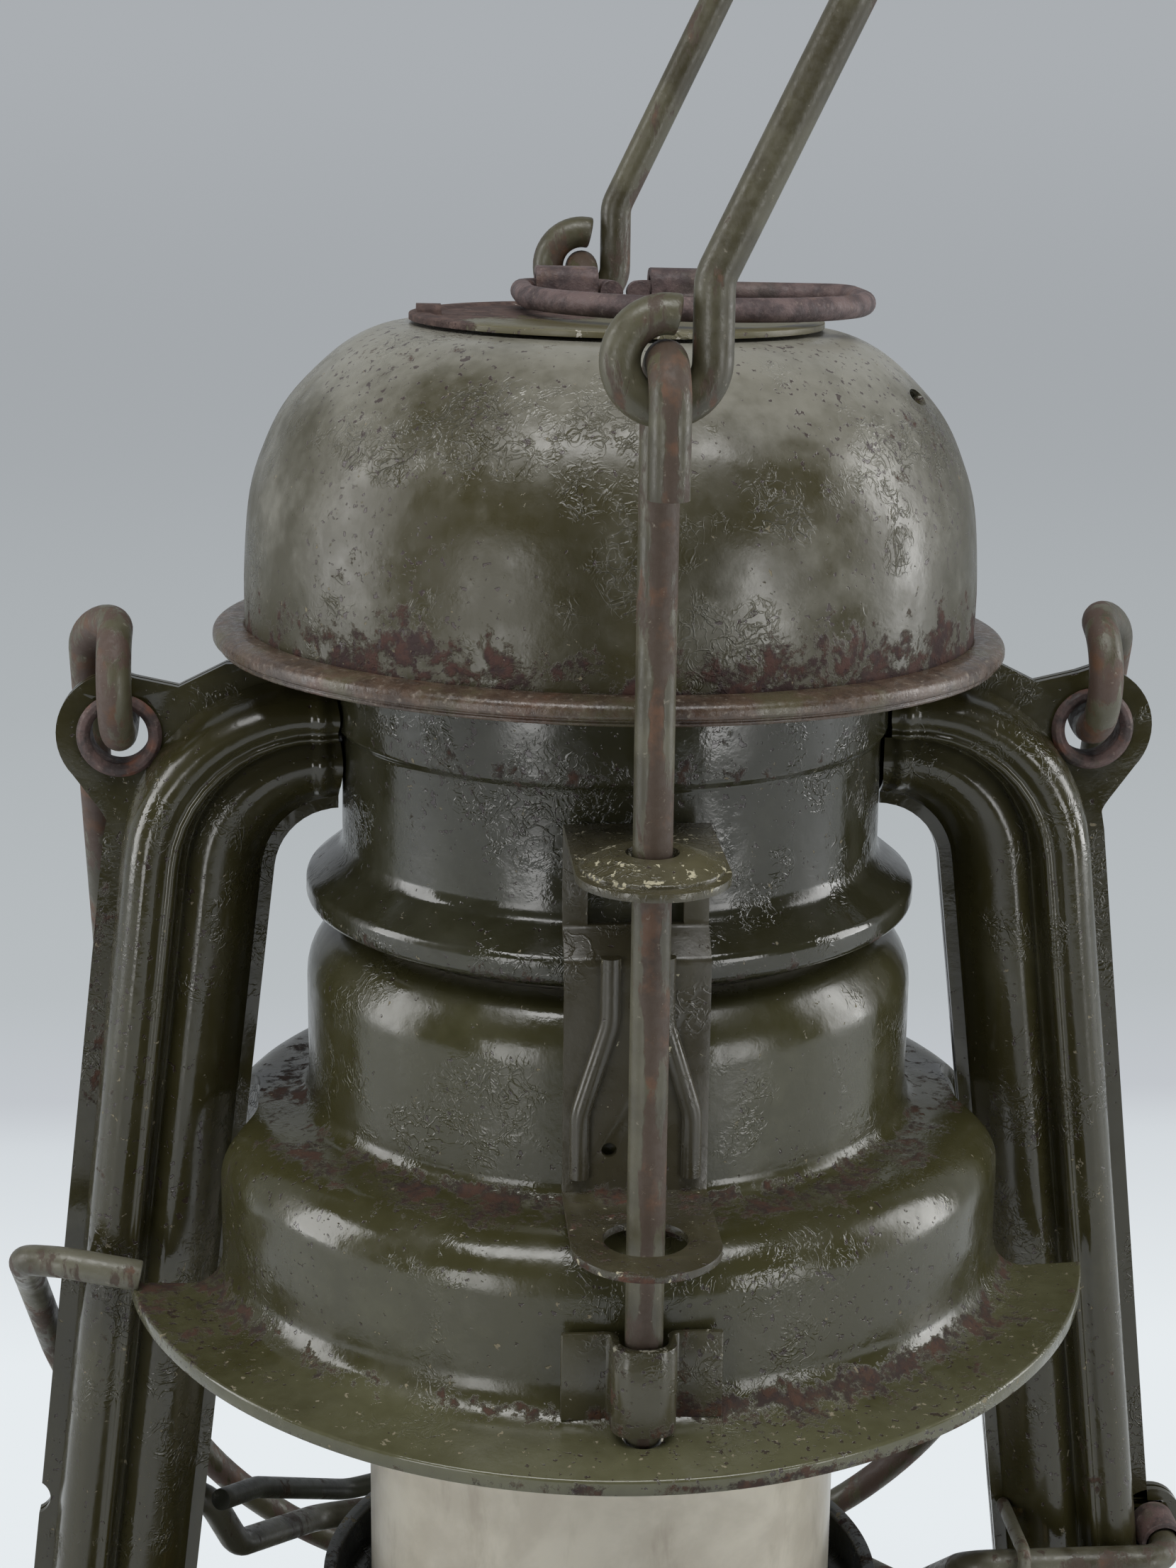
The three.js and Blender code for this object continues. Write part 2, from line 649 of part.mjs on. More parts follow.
piece('wick_knob', onShaft(cut(
  pipe(shaft_radius + seat_gap, knob_radius, knob_reach, knob_reach + knob_thickness, 36), ...knobNotches,
)), brass, burner);

// Air chamber with holes for the side tubes and the wick shaft
const shaftHole = shaftBar(shaft_radius + 2 * seat_gap, chamber_hole, knob_reach).rotateZ(burner_turn);
piece('air_chamber', cut(chamberShell, shaftHole, ...cores), olive);

// Throat: flared foot, swaged step and a mouth for the chimney sleeve
const throatBand = throat_radius + throat_step;
const throatSide = profile([
  [throat_flare - 2 * bend, throat_foot_z - bend], [throat_flare, throat_foot_z, bend], [throat_flare, throat_foot_z + 2 * bend, bend],
  [throat_radius, throat_flare_z, 2 * bend], [throat_radius, throat_step_z, sheet / 2],
  [throatBand, throat_step_z + throat_step, sheet / 2], [throatBand, throat_top_z, 2 * bend], [throat_mouth, throat_top_z],
]);
piece('throat', cut(turned(thick(throatSide)), ...cores), olive);

// Canopy: dome with a beaded brim, top plate, and the sleeve that slides in the throat
const canopyRise = canopy_top_z - canopy_brim_z;
const domeShares = [[1, 0.24], [0.983, 0.467], [0.943, 0.62], [0.893, 0.739], [0.819, 0.842], [0.729, 0.933], [0.642, 0.984]];
const domeLine = [
  [canopy_radius, canopy_brim_z + bend],
  ...domeShares.map(([r, z]) => [r * canopy_radius, canopy_brim_z + z * canopyRise]),
  [plate_radius, canopy_top_z], [sleeve_radius - 3 * sheet, canopy_top_z],
];
const domeSlot = disc(canopy_slot_width, -overrun, overrun, 12).scale(canopy_slot_length / canopy_slot_width, 1, 1)
  .rotateX(quarter).translate(0, -canopy_radius * 0.82, canopy_slot_z).rotateZ(quarter + canopy_slot_angle);
const brimBead = arc(canopy_brim_radius - canopy_bead, canopy_brim_z, canopy_bead, -1.8 * quarter, 1.2 * quarter, 6);
piece('canopy_dome', cut(turned([...brimBead, ...thick(domeLine)]), domeSlot), olive);
const plateFoot = canopy_top_z + seat_gap;
const plateTop = plateFoot + sheet;
piece('canopy_plate', join(
  disc(plate_radius, plateFoot, plateTop, turn_steps),
  block([-plate_radius + sheet, -lug_size / 2, plateFoot + sheet / 2], [-plate_radius + lug_size, lug_size / 2, plateTop + sheet]),
), rust);
const sleeveTop = canopy_top_z - sheet - seat_gap;
const vents = Array.from({ length: sleeve_vents }, (_, k) => disc(sleeve_vent_radius, 0, sleeve_radius + overrun, 14)
  .rotateY(quarter).translate(0, 0, throat_top_z + sleeve_vent_rise).rotateZ((2 * Math.PI * (k + 0.5)) / sleeve_vents));
piece('chimney_sleeve', cut(turned(thick(profile([
  [sleeve_flange, sleeve_foot_z + sheet], [sleeve_radius, sleeve_foot_z + sheet, bend], [sleeve_radius, sleeveTop, bend],
  [sleeve_radius - 2.5 * sheet, sleeveTop],
])), hidden_steps), ...vents), olive);

// Spring round the sleeve that holds the canopy down
const springRadius = sleeve_radius + spring_wire + 2 * sheet;
const springFoot = sleeve_foot_z + sheet + seat_gap + spring_wire;
const springTop = throat_top_z - sheet - seat_gap - spring_wire;
const springStations = Array.from({ length: spring_turns * 10 + 1 }, (_, k) => {
  const angle = (2 * Math.PI * k) / 10;
  return [springRadius * Math.cos(angle), springRadius * Math.sin(angle), springFoot + ((springTop - springFoot) * k) / (spring_turns * 10)];
});
piece('canopy_spring', wire(springStations, spring_wire, 6), steel);

// Lift ring lying on the plate, and the two straps it turns in
const ringZ = plateTop + seat_gap + ring_wire;
const ringEndX = (strap_left_x + strap_right_x) / 2;
const ringCentreY = ring_hinge_y - ring_depth + ring_radius;
piece('lift_ring', wire([
  [ringEndX - ring_end_space / 2, ring_hinge_y - ring_end_length, ringZ],
  [ringEndX - ring_end_space / 2, ring_hinge_y, ringZ, ring_end_space / 2],
  [ring_offset - ring_radius, ring_hinge_y, ringZ, ring_corner],
  ...arc(ring_offset, ringCentreY, ring_radius, 2 * quarter, 4 * quarter, 16).map(([x, y]) => [x, y, ringZ]),
  [ring_offset + ring_radius, ring_hinge_y, ringZ, ring_corner],
  [ringEndX + ring_end_space / 2, ring_hinge_y, ringZ, ring_end_space / 2],
  [ringEndX + ring_end_space / 2, ring_hinge_y - ring_end_length, ringZ],
], ring_wire), rust);
const strapHalf = ring_wire + seat_gap + strap_sheet;
const strapFootZ = plateTop + seat_gap + strap_sheet;
const strapTopZ = ringZ + ring_wire + seat_gap + strap_sheet;
const strapLine = profile([
  [ring_hinge_y + strapHalf + strap_foot, strapFootZ], [ring_hinge_y + strapHalf, strapFootZ, strap_sheet / 2],
  [ring_hinge_y + strapHalf, strapTopZ, strapHalf * 0.9], [ring_hinge_y - strapHalf, strapTopZ, strapHalf * 0.9],
  [ring_hinge_y - strapHalf, strapFootZ, strap_sheet / 2], [ring_hinge_y - strapHalf - strap_foot, strapFootZ],
]);
piece('ring_strap_left', along(thick(strapLine, strap_sheet), strap_width, strap_left_x), rust);
piece('ring_strap_right', along(thick(strapLine, strap_sheet), strap_width, strap_right_x), rust);

// Guides: a strip against the throat with two ring tabs bent out of it, built for the rear and turned for the front
const guideFace = throat_flare + seat_gap + sheet;
const guideIn = throatBand + seat_gap + sheet;
const guideHalf = guide_width / 2;
function guideTab(low) {
  const endY = guide_reach - guideHalf;
  return plate([[guideHalf, guideIn - sheet / 2], ...arc(0, endY, guideHalf, 0, 2 * quarter, 12), [-guideHalf, guideIn - sheet / 2]], low, low + sheet);
}
const windowTop = guide_window_z + guide_window_height;
const tabTop = guide_tab_z + sheet / 2;
const ribs = [-1, 1].map((side) => wire([
  [side * guide_rib * 2.6, guideFace, guide_window_z - 2 * bend], [side * guide_rib * 2.6, guideFace, guide_window_z - guide_window_height, overrun],
  [side * guideHalf * 0.77, guideFace, guide_foot_z + guide_window_height, overrun], [side * guideHalf * 0.77, guideFace, guide_foot_z + 2 * bend],
], guide_rib, 6));
const guideBody = join(
  along(thick(profile([
    [guideFace, guide_foot_z], [guideFace, guide_window_z - sheet, bend], [guideIn, guide_window_z + guide_joggle, bend], [guideIn, guide_top_z],
  ])), guide_width),
  cut(guideTab(guide_foot_z), disc(throat_flare + seat_gap + sheet / 2, 0, throat_flare_z, turn_steps)),
  guideTab(guide_tab_z - sheet / 2),
  turned(profile([
    [upper_hole_radius, tabTop - sheet / 2], [tab_boss_radius, tabTop - sheet / 2], [tab_boss_radius, tabTop + tab_boss_height / 3],
    [tab_boss_radius * 0.55, tabTop + tab_boss_height, bend], [upper_hole_radius, tabTop + tab_boss_height],
  ]), small_steps).translate(0, rod_place, 0),
  ...ribs,
);
const rodBore = (radius, low, high) => disc(radius, low, high).translate(0, rod_place, 0);
const guide = cut(
  guideBody,
  block([-guideHalf + guide_rail, 0, guide_window_z], [guideHalf - guide_rail, guideFace + bend, windowTop]),
  rodBore(upper_hole_radius, windowTop - sheet, guide_tab_z + overrun),
  rodBore(lower_hole_radius, guide_foot_z - overrun, guide_foot_z + overrun),
  disc(sheet, 0, guideFace + overrun, 10).rotateX(-quarter).translate(guideHalf * 0.36, 0, guide_foot_z + overrun),
);
piece('rear_guide', guide, olive);
piece('front_guide', guide.clone().rotateZ(Math.PI), olive);

// Blackout hood: one stepped sheet, notched for the side tubes and slotted for the rods
const hoodLine = profile([
  [hood_brim_radius, hood_brim_z - 2 * sheet], [hood_brim_radius, hood_brim_z, sheet / 2], [hood_skirt_radius, hood_skirt_z, 1.5 * bend], [hood_skirt_radius, hood_step_z, hood_skirt_shoulder],
  [hood_tier_radius, hood_step_z, 1.5 * bend], [hood_tier_radius, hood_top_z, hood_tier_shoulder],
  [hood_neck_radius, hood_top_z],
]);
const hoodNotches = [-1, 1].map((side) => block(
  [side < 0 ? -hood_brim_radius - overrun : hood_notch_x, -hood_notch_half_width, hood_brim_z - overrun],
  [side < 0 ? -hood_notch_x : hood_brim_radius + overrun, hood_notch_half_width, hood_step_z + overrun],
));
const rodSlots = [-1, 1].map((side) => block(
  [-rod_slot, side < 0 ? -rod_place - rod_slot : hood_skirt_radius - sheet, hood_brim_z - overrun],
  [rod_slot, side < 0 ? -hood_skirt_radius + sheet : rod_place + rod_slot, hood_skirt_z + seat_gap],
));
piece('hood_shell', cut(turned(thick(hoodLine), turn_steps + 4), ...hoodNotches, ...rodSlots), olive);
const clipFace = hood_skirt_radius + seat_gap + sheet;
const clipOut = clip_channel + sheet;
const clipTopY = rod_place + rod_wire + seat_gap + sheet;
const clip = plate(thick(profile([
  [clip_width / 2, clipFace], [clipOut, clipFace, sheet / 2], [clipOut, clipTopY, clipOut * 0.95],
  [-clipOut, clipTopY, clipOut * 0.95], [-clipOut, clipFace, sheet / 2], [-clip_width / 2, clipFace],
])), clip_foot_z, clip_top_z);
piece('rear_clip', clip, rust);
piece('front_clip', clip.clone().rotateZ(Math.PI), rust);

// Rods with hooked tops
const hookRadius = hook_reach / 2;
const rod = wire([
  [0, rod_place, rod_foot_z], [0, rod_place, hook_top_z, hookRadius], [0, rod_place + hook_reach, hook_top_z, hookRadius],
  [0, rod_place + hook_reach, hook_top_z - hook_leg],
], rod_wire, 10);
piece('rear_rod', rod, rust);
piece('front_rod', rod.clone().rotateZ(Math.PI), rust);

// Bail of the hood: an eye round each hook, legs that lean and an arch with a kink to hang it by
const eyeY = rod_place + hookRadius;
const leanX = Math.sin(hood_bail_lean);
const leanZ = Math.cos(hood_bail_lean);
const hoodEye = arc(0, hook_top_z, hood_bail_eye, hood_bail_eye_start, 4 * quarter, 12);
const onBail = (y, reach) => [hood_bail_eye + leanX * reach, y, hook_top_z + hood_bail_stub + leanZ * reach];
const archStart = hood_bail_height - eyeY;
const arch = arc(0, archStart, eyeY, 2 * quarter, 0, 16).map(([y, reach]) => onBail(
  y, reach + hood_bail_kink * Math.max(0, Math.cos((Math.PI * y) / (4.4 * hood_bail_kink))) * (Math.abs(y) < 2.2 * hood_bail_kink)));
const frontEye = hoodEye.map(([x, z]) => [x, -eyeY, z]);
const rearEye = hoodEye.map(([x, z]) => [x, eyeY, z]).reverse();
piece('hood_bail', wire([
  ...frontEye, [...onBail(-eyeY, 0), hood_bail_stub / 2], ...arch, [...onBail(eyeY, 0), hood_bail_stub / 2], ...rearEye,
], hood_bail_wire), wornWire);

// Carrying bail: a coil through each ear, legs leaning back and a round bow that rests on the tank
const bailZ = ear_z + bail_eye;
const bailSeat = tank_shoulder + seat_gap + bail_wire;
const bailRestY = tank_radius - tank_shoulder + bailSeat * Math.cos(bail_rest_angle);
const bailRestZ = tank_height - tank_shoulder + bailSeat * Math.sin(bail_rest_angle);
const restReach = Math.hypot(bailRestY, bailZ - bailRestZ);
const bailLean = Math.atan2(bailRestY, bailZ - bailRestZ) - Math.asin(bail_eye / restReach);
const bailReach = Math.sqrt(restReach ** 2 - bail_eye ** 2);
const bailEye = arc(0, 0, bail_eye, bail_eye_start, bailLean - 4 * quarter, 14).map(([y, z], k) => {
  const angle = bail_eye_start + ((bailLean - 4 * quarter - bail_eye_start) * k) / 14;
  const share = THREE.MathUtils.clamp((angle - bail_eye_shift) / (bailLean - 4 * quarter - bail_eye_shift), 0, 1);
  return [THREE.MathUtils.lerp(bail_eye_x, bail_half_width, THREE.MathUtils.smoothstep(share, 0, 1)), y, z + bailZ];
});
const onBow = (x, reach) => [x, bail_eye * Math.cos(bailLean) + Math.sin(bailLean) * reach,
  bailZ + bail_eye * Math.sin(bailLean) - Math.cos(bailLean) * reach];
const bow = arc(0, bailReach - bail_half_width, bail_half_width, 0, 2 * quarter, 16).map(([x, reach]) => onBow(x, reach));
piece('carry_bail', wire([
  ...bailEye, ...bow, ...[...bailEye].reverse().map(([x, y, z]) => [-x, y, z]),
], bail_wire), wornWire);

// Globe and its cup with the tab that the lever lifts
const globeTop = sleeve_foot_z - seat_gap;
piece('globe', turned(profile([
  [globe_radius - globe_wall, globe_foot_z], [globe_radius, globe_foot_z, globe_wall / 3], [globe_radius, globeTop, globe_wall / 3],
  [globe_radius - globe_wall, globeTop],
])), glass);
const cupPlate = globe_foot_z - seat_gap;
const tabStepY = chamber_radius + 2 * bend;
const tabFace = lever_lift_z + lever_wire + seat_gap + sheet;
piece('globe_cup', join(
  turned(thick(profile([
    [cup_radius + sheet, cup_rim_z], [cup_radius - sheet, cup_rim_z, sheet], [cup_radius - sheet, cupPlate, 1.5 * bend], [cup_hole, cupPlate],
  ]))),
  along(thick(profile([
    [lift_tab_reach, tabFace], [tabStepY, tabFace, bend], [tabStepY, cupPlate, bend], [cup_radius - 2 * sheet, cupPlate],
  ])), lift_tab_width),
), olive);
const guardY = cup_radius + seat_gap + sheet + guard_wire;
piece('guard_wire', wire([
  [-hood_skirt_radius - sheet, 2.5 * bend, notch_z - overrun], [-hood_notch_x - sheet, guardY / 3, notch_z - 1.75 * overrun, overrun],
  [-cup_radius + 1.5 * bend, guardY * 0.78, guard_z, overrun], [0, guardY * 1.13, guard_z, 3 * overrun],
  [cup_radius - 1.5 * bend, guardY * 0.78, guard_z],
], guard_wire), steel);

// Lever: hooked over the left tube, run round behind the globe and hinged on the right tube
const leverY = lever_side_y;
piece('lift_lever', wire([
  [-lever_hook_tip_x, -leverY, lever_hook_z], [-splayAt(lever_hook_z) - tube_width * 0.75, -leverY, lever_hook_z, 2 * lever_wire],
  [-splayAt(lever_hook_z) - tube_width * 0.8, 0, lever_hook_z - overrun, overrun],
  [-splayAt(notch_z) - tube_width / 2, leverY + lever_wire / 4, notch_z + 2.5 * overrun, overrun],
  [-splayAt(lever_pivot_z), leverY + lever_wire / 4, lever_pivot_z, overrun],
  [-rod_place - bend, leverY + lever_wire, cup_rim_z - bend, overrun],
  [-hood_skirt_radius, 1.5 * leverY, cup_rim_z - overrun, overrun],
  [-lever_lift_y * 0.82, lever_lift_y * 0.82, lever_lift_z + lever_wire / 2, overrun],
  [-lift_tab_width, lever_lift_y, lever_lift_z, overrun], [lift_tab_width, lever_lift_y, lever_lift_z, overrun],
  [lever_lift_y * 0.7, lever_lift_y * 0.82, lever_lift_z + overrun, overrun],
  [lever_lift_y, 1.5 * leverY, lever_lift_z + 2 * overrun, overrun], [lever_lift_y, -leverY, lever_pivot_z, 2 * lever_wire],
  [lever_pivot_x, -leverY, lever_pivot_z, 2 * lever_wire], [lever_pivot_x, leverY / 2, lever_pivot_z],
], lever_wire), wornWire);
const sleeveEnd = leverY - 2 * lever_wire;
piece('lever_sleeve', pipe(lever_wire + seat_gap, lever_sleeve_radius, sheet + 2 * seat_gap, sleeveEnd, 16).rotateX(quarter)
  .translate(lever_pivot_x, 0, lever_pivot_z), rust);
const keeperX = splayAt(lever_pivot_z) - tube_width / 2 + keeper_wire;
const keeperFace = leverY + lever_wire + seat_gap + keeper_wire;
const keeperFoot = lever_pivot_z - lever_wire - overrun;
const keeperTop = lever_pivot_z + lever_wire + seat_gap + keeper_wire;
piece('lever_keeper', wire([
  [keeperX, -sheet - 2 * seat_gap, keeperTop], [keeperX, -keeperFace, keeperTop, bend], [keeperX, -keeperFace, keeperFoot, bend],
  [keeperX, -sheet - 2 * seat_gap, keeperFoot],
], keeper_wire, 6), wornWire);

export default lantern;
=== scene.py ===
"""Looks of a small storm lantern with a stepped blackout hood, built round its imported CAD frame.

Every size below is in millimetres, in the CAD frame: +Z up, the front towards -Y.
Meshes are written in metres, and each piece's place is in its mesh.
"""

from __future__ import annotations

import json
import logging
import math
from collections.abc import Sequence
from dataclasses import dataclass, field
from enum import Enum

import bmesh
import bpy
from mathutils import Matrix, Vector, noise

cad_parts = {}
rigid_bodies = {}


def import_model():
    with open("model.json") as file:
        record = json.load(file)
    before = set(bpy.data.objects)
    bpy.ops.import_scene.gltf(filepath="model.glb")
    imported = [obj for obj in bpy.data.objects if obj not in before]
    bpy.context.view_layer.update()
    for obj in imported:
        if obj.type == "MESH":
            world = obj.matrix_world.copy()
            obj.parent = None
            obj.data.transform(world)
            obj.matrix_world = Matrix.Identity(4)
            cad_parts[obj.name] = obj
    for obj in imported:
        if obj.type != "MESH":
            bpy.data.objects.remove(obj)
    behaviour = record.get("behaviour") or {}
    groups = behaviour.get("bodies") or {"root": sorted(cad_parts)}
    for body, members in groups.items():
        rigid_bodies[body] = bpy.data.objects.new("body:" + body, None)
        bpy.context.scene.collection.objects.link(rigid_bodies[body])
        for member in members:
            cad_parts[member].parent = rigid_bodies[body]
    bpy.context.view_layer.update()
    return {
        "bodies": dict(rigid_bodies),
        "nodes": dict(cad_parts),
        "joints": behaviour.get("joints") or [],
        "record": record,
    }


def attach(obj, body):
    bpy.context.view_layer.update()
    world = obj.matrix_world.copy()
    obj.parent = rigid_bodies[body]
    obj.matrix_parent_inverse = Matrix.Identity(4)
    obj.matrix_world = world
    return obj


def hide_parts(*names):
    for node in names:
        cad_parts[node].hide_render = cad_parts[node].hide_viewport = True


LOG = logging.getLogger("lantern")

MM = 0.001
QUARTER = math.pi / 2

SHEET = 0.6
SEAT_GAP = 0.3
OVERRUN = 4.0
BEND_STEP = math.radians(9)
NEARLY_STRAIGHT = math.pi - 0.01
SHARED_LEG = 0.495
WHOLE_LEG = 0.99
TIGHTEST_BEND = 0.12
SHORTEST_STEP = 0.01
PRESSED_STEPS = 5
TURN_STEPS = 192
FINE_STEPS = 224
SMALL_STEPS = 64
WIRE_SIDES = 28
THIN_WIRE_SIDES = 16
WIRE_STEP = 1.2
BOW_STEPS = 72
LOOP_STEPS = 48
RIB_SINK = 0.02
EDGE_BREAK = 0.1
WIRE_EDGE = 0.2
BEVEL_ANGLE = math.radians(50)
CREASE_ANGLE = math.radians(38)
DRAWN_MERGE = 1e-7
CUT_MERGE = 2e-7
LYING = Matrix.Rotation(QUARTER, 4, "X")
BEND = 0.9
THROAT_RADIUS = 22.5
THROAT_STEP = 0.6
CHAMBER_RADIUS = 28.0
ROD_PLACE = 35.5
EAR_X = 40.6
LEVER_PIVOT = (50.4, 66.8)
RING_HINGE_Y = 10.6
RING_Z = 176.55
RING_HINGE = Vector((0.0, RING_HINGE_Y, RING_Z))
BACK_LEAN = math.radians(-1.5)
SIDE_LEAN = math.radians(0.8)
CANOPY_LEAN = (Matrix.Translation(RING_HINGE) @ Matrix.Rotation(BACK_LEAN, 4, "X")
               @ Matrix.Rotation(SIDE_LEAN, 4, "Y") @ Matrix.Translation(-RING_HINGE))

Corner = Sequence[float]
Line = list[Vector]
Colour = tuple[float, float, float, float]
Cloud = tuple[float, ...]
Pair = tuple[float, float]
Piece = bpy.types.Object
Finish = bpy.types.Material
Socket = bpy.types.NodeSocket


class Body(str, Enum):
    """The CAD bodies that pieces ride on."""

    FRAME = "frame"
    CANOPY = "canopy"
    RING = "ring"
    HOOD = "hood"
    HOOD_HANDLE = "hood_handle"
    HANDLE = "handle"
    LEVER = "lever"
    CARRIAGE = "carriage"
    KNOB = "knob"
    FUEL_CAP = "fuel_cap"


class Slot(str, Enum):
    """The record's material slots."""

    OLIVE = "olive_enamel"
    RUST = "rusted_steel"
    WIRE = "worn_wire"
    STEEL = "bare_steel"
    BRASS = "burner_brass"
    COTTON = "wick_cotton"
    CORK = "cork_seal"
    GLASS = "frosted_glass"


class Axis(Enum):
    """An axis of the frame, by its place in a vector."""

    X = 0
    Y = 1
    Z = 2


class Side(Enum):
    """Which side tube of the lantern, as the sign of its X."""

    LEFT = -1
    RIGHT = 1


class Face(Enum):
    """Which half of the lantern, as the sign of its Y."""

    FRONT = -1
    BACK = 1

    @property
    def word(self) -> str:
        """How the names of this half's guide, clip and rod start."""
        return "front" if self is Face.FRONT else "rear"

    @property
    def spin(self) -> Matrix:
        """Turns a piece that is drawn at the back to this half."""
        return Matrix.Rotation(math.pi if self is Face.FRONT else 0.0, 4, "Z")


# lines and sections


def rounded(corners: Sequence[Corner], dimensions: int = 2) -> Line:
    """Draws a line whose corners are rounded.

    Args:
        corners: Points with that many coordinates, and a radius after them where a corner is round.
        dimensions: 2 for a section, 3 for a wire.

    Returns:
        The points of the line.
    """
    places = [Vector(corner[:dimensions]) for corner in corners]
    is_round = [len(corner) > dimensions and corner[dimensions] > 0 for corner in corners]
    is_round[0] = is_round[-1] = False
    points: Line = []
    for index, place in enumerate(places):
        radius = corners[index][dimensions] if is_round[index] else 0.0
        if not radius:
            points.append(place)
            continue
        back, onward = places[index - 1] - place, places[index + 1] - place
        opening = back.angle(onward)
        if opening > NEARLY_STRAIGHT:
            points.append(place)
            continue
        room = [leg.length * (SHARED_LEG if is_round[at] else WHOLE_LEG)
                for leg, at in ((back, index - 1), (onward, index + 1))]
        reach = min(radius / math.tan(opening / 2), *room)
        radius = reach * math.tan(opening / 2)
        back.normalize()
        onward.normalize()
        centre = place + (back + onward).normalized() * (radius / math.sin(opening / 2))
        start = place + back * reach - centre
        end = place + onward * reach - centre
        steps = max(2, math.ceil((math.pi - opening) / BEND_STEP))
        sweep = math.pi - opening
        for step in range(steps + 1):
            share = step / steps
            first = math.sin((1 - share) * sweep) / math.sin(sweep)
            second = math.sin(share * sweep) / math.sin(sweep)
            points.append(centre + start * first + end * second)
    return points


def arc(x: float, y: float, radius: float, start: float, end: float, steps: int) -> Line:
    """Draws part of a circle.

    Args:
        x: First coordinate of the centre.
        y: Second coordinate of the centre.
        radius: Radius of the circle.
        start: First angle, in radians.
        end: Last angle, in radians.
        steps: Number of straight steps.

    Returns:
        The points, both ends among them.
    """
    angles = [start + (end - start) * step / steps for step in range(steps + 1)]
    return [Vector((x + radius * math.cos(a), y + radius * math.sin(a))) for a in angles]


def thick(corners: Sequence[Corner], depth: float = SHEET) -> Line:
    """Gives a line the thickness of its sheet, on the left of its travel.

    Args:
        corners: Corners of the outer face, with a radius after the two coordinates where round.
        depth: Thickness of the sheet.

    Returns:
        The closed section, outer face first.
    """
    places = [Vector(corner[:2]) for corner in corners]
    inner: list[Corner] = []
    for index, place in enumerate(places):
        ways = []
        if index:
            ways.append((place - places[index - 1]).normalized())
        if index + 1 < len(places):
            ways.append((places[index + 1] - place).normalized())
        normals = [Vector((-way.y, way.x)) for way in ways]
        shift = normals[0]
        radius = corners[index][2] if len(corners[index]) > 2 else 0.0
        if len(normals) == 2:
            shift = (normals[0] + normals[1]) / (1 + normals[0].dot(normals[1]))
            turn = ways[0].x * ways[1].y - ways[0].y * ways[1].x
            radius = max(radius - math.copysign(depth, turn), TIGHTEST_BEND) if radius else 0.0
        moved = place + shift * depth
        inner.append((moved.x, moved.y, radius))
    return rounded(corners) + rounded(inner)[::-1]


def smoothed(points: Line) -> Line:
    """Runs a soft curve through the points of a pressed section.

    Args:
        points: The points to run through.

    Returns:
        The points of the curve.
    """
    curve: Line = []
    for index, (here, there) in enumerate(zip(points, points[1:])):
        before = points[max(index - 1, 0)]
        after = points[min(index + 2, len(points) - 1)]
        for step in range(PRESSED_STEPS):
            t = step / PRESSED_STEPS
            curve.append(0.5 * (2 * here + (there - before) * t
                                + (2 * before - 5 * here + 4 * there - after) * t * t
                                + (3 * here - before - 3 * there + after) * t * t * t))
    curve.append(points[-1])
    return curve


# meshes


def linked(name: str, data: bpy.types.ID) -> Piece:
    """Makes an object of its data and puts it in the scene.

    Args:
        name: Name of the object.
        data: Its mesh, curve, lamp or camera.

    Returns:
        The object.
    """
    made = bpy.data.objects.new(name, data)
    bpy.context.scene.collection.objects.link(made)
    return made


def mesh_object(name: str, points: Sequence[Corner], faces: Sequence[Sequence[int]]) -> Piece:
    """Makes a mesh object with its normals outward.

    Args:
        name: Name of the piece.
        points: Vertices in millimetres.
        faces: Vertex numbers of each face.

    Returns:
        The object, at the origin.
    """
    mesh = bpy.data.meshes.new(name)
    mesh.from_pydata([[c * MM for c in point] for point in points], [], faces)
    return cleaned(linked(name, mesh), DRAWN_MERGE, slivers=False)


def turned(name: str, section: Line, steps: int = TURN_STEPS) -> Piece:
    """Turns a closed section round the Z axis.

    Args:
        name: Name of the piece.
        section: Closed section, radius and height.
        steps: Number of steps round the axis.

    Returns:
        The turned object.
    """
    points = []
    for step in range(steps):
        angle = 2 * math.pi * step / steps
        points += [(p.x * math.cos(angle), p.x * math.sin(angle), p.y) for p in section]
    count = len(section)
    faces = []
    for step in range(steps):
        here, there = step * count, (step + 1) % steps * count
        for k in range(count):
            after = (k + 1) % count
            if max(section[k].x, section[after].x) > 1e-6:
                faces.append((here + k, there + k, there + after, here + after))
    return mesh_object(name, points, faces)


def lofted(name: str, rings: Sequence[Sequence[Vector]]) -> Piece:
    """Joins closed rings of equal count into one capped skin.

    Args:
        name: Name of the piece.
        rings: The rings in order, each a closed loop of points.

    Returns:
        The closed object.
    """
    count = len(rings[0])
    points = [point for ring in rings for point in ring]
    faces = [tuple(range(count)), tuple(range(len(points) - count, len(points)))]
    for ring in range(len(rings) - 1):
        for k in range(count):
            after = (k + 1) % count
            faces.append((ring * count + k, ring * count + after,
                          (ring + 1) * count + after, (ring + 1) * count + k))
    return mesh_object(name, points, faces)


def extruded(name: str, section: Line, width: float, middle: float = 0.0) -> Piece:
    """Draws a section in Y and Z out along X.

    Args:
        name: Name of the piece.
        section: Closed section, Y and Z.
        width: Length along X.
        middle: X of its middle.

    Returns:
        The closed bar.
    """
    ends = (middle - width / 2, middle + width / 2)
    return lofted(name, [[Vector((x, p.x, p.y)) for p in section] for x in ends])


def add_run(curve: bpy.types.Curve, places: Sequence[Corner], closed: bool) -> None:
    """Adds a run of straight steps to a curve.

    Args:
        curve: The curve.
        places: Points of the run, in metres.
        closed: Whether its end meets its start.
    """
    spline = curve.splines.new("POLY")
    spline.points.add(len(places) - 1)
    for point, spot in zip(spline.points, places):
        point.co = (*spot, 1.0)
    spline.use_cyclic_u = closed


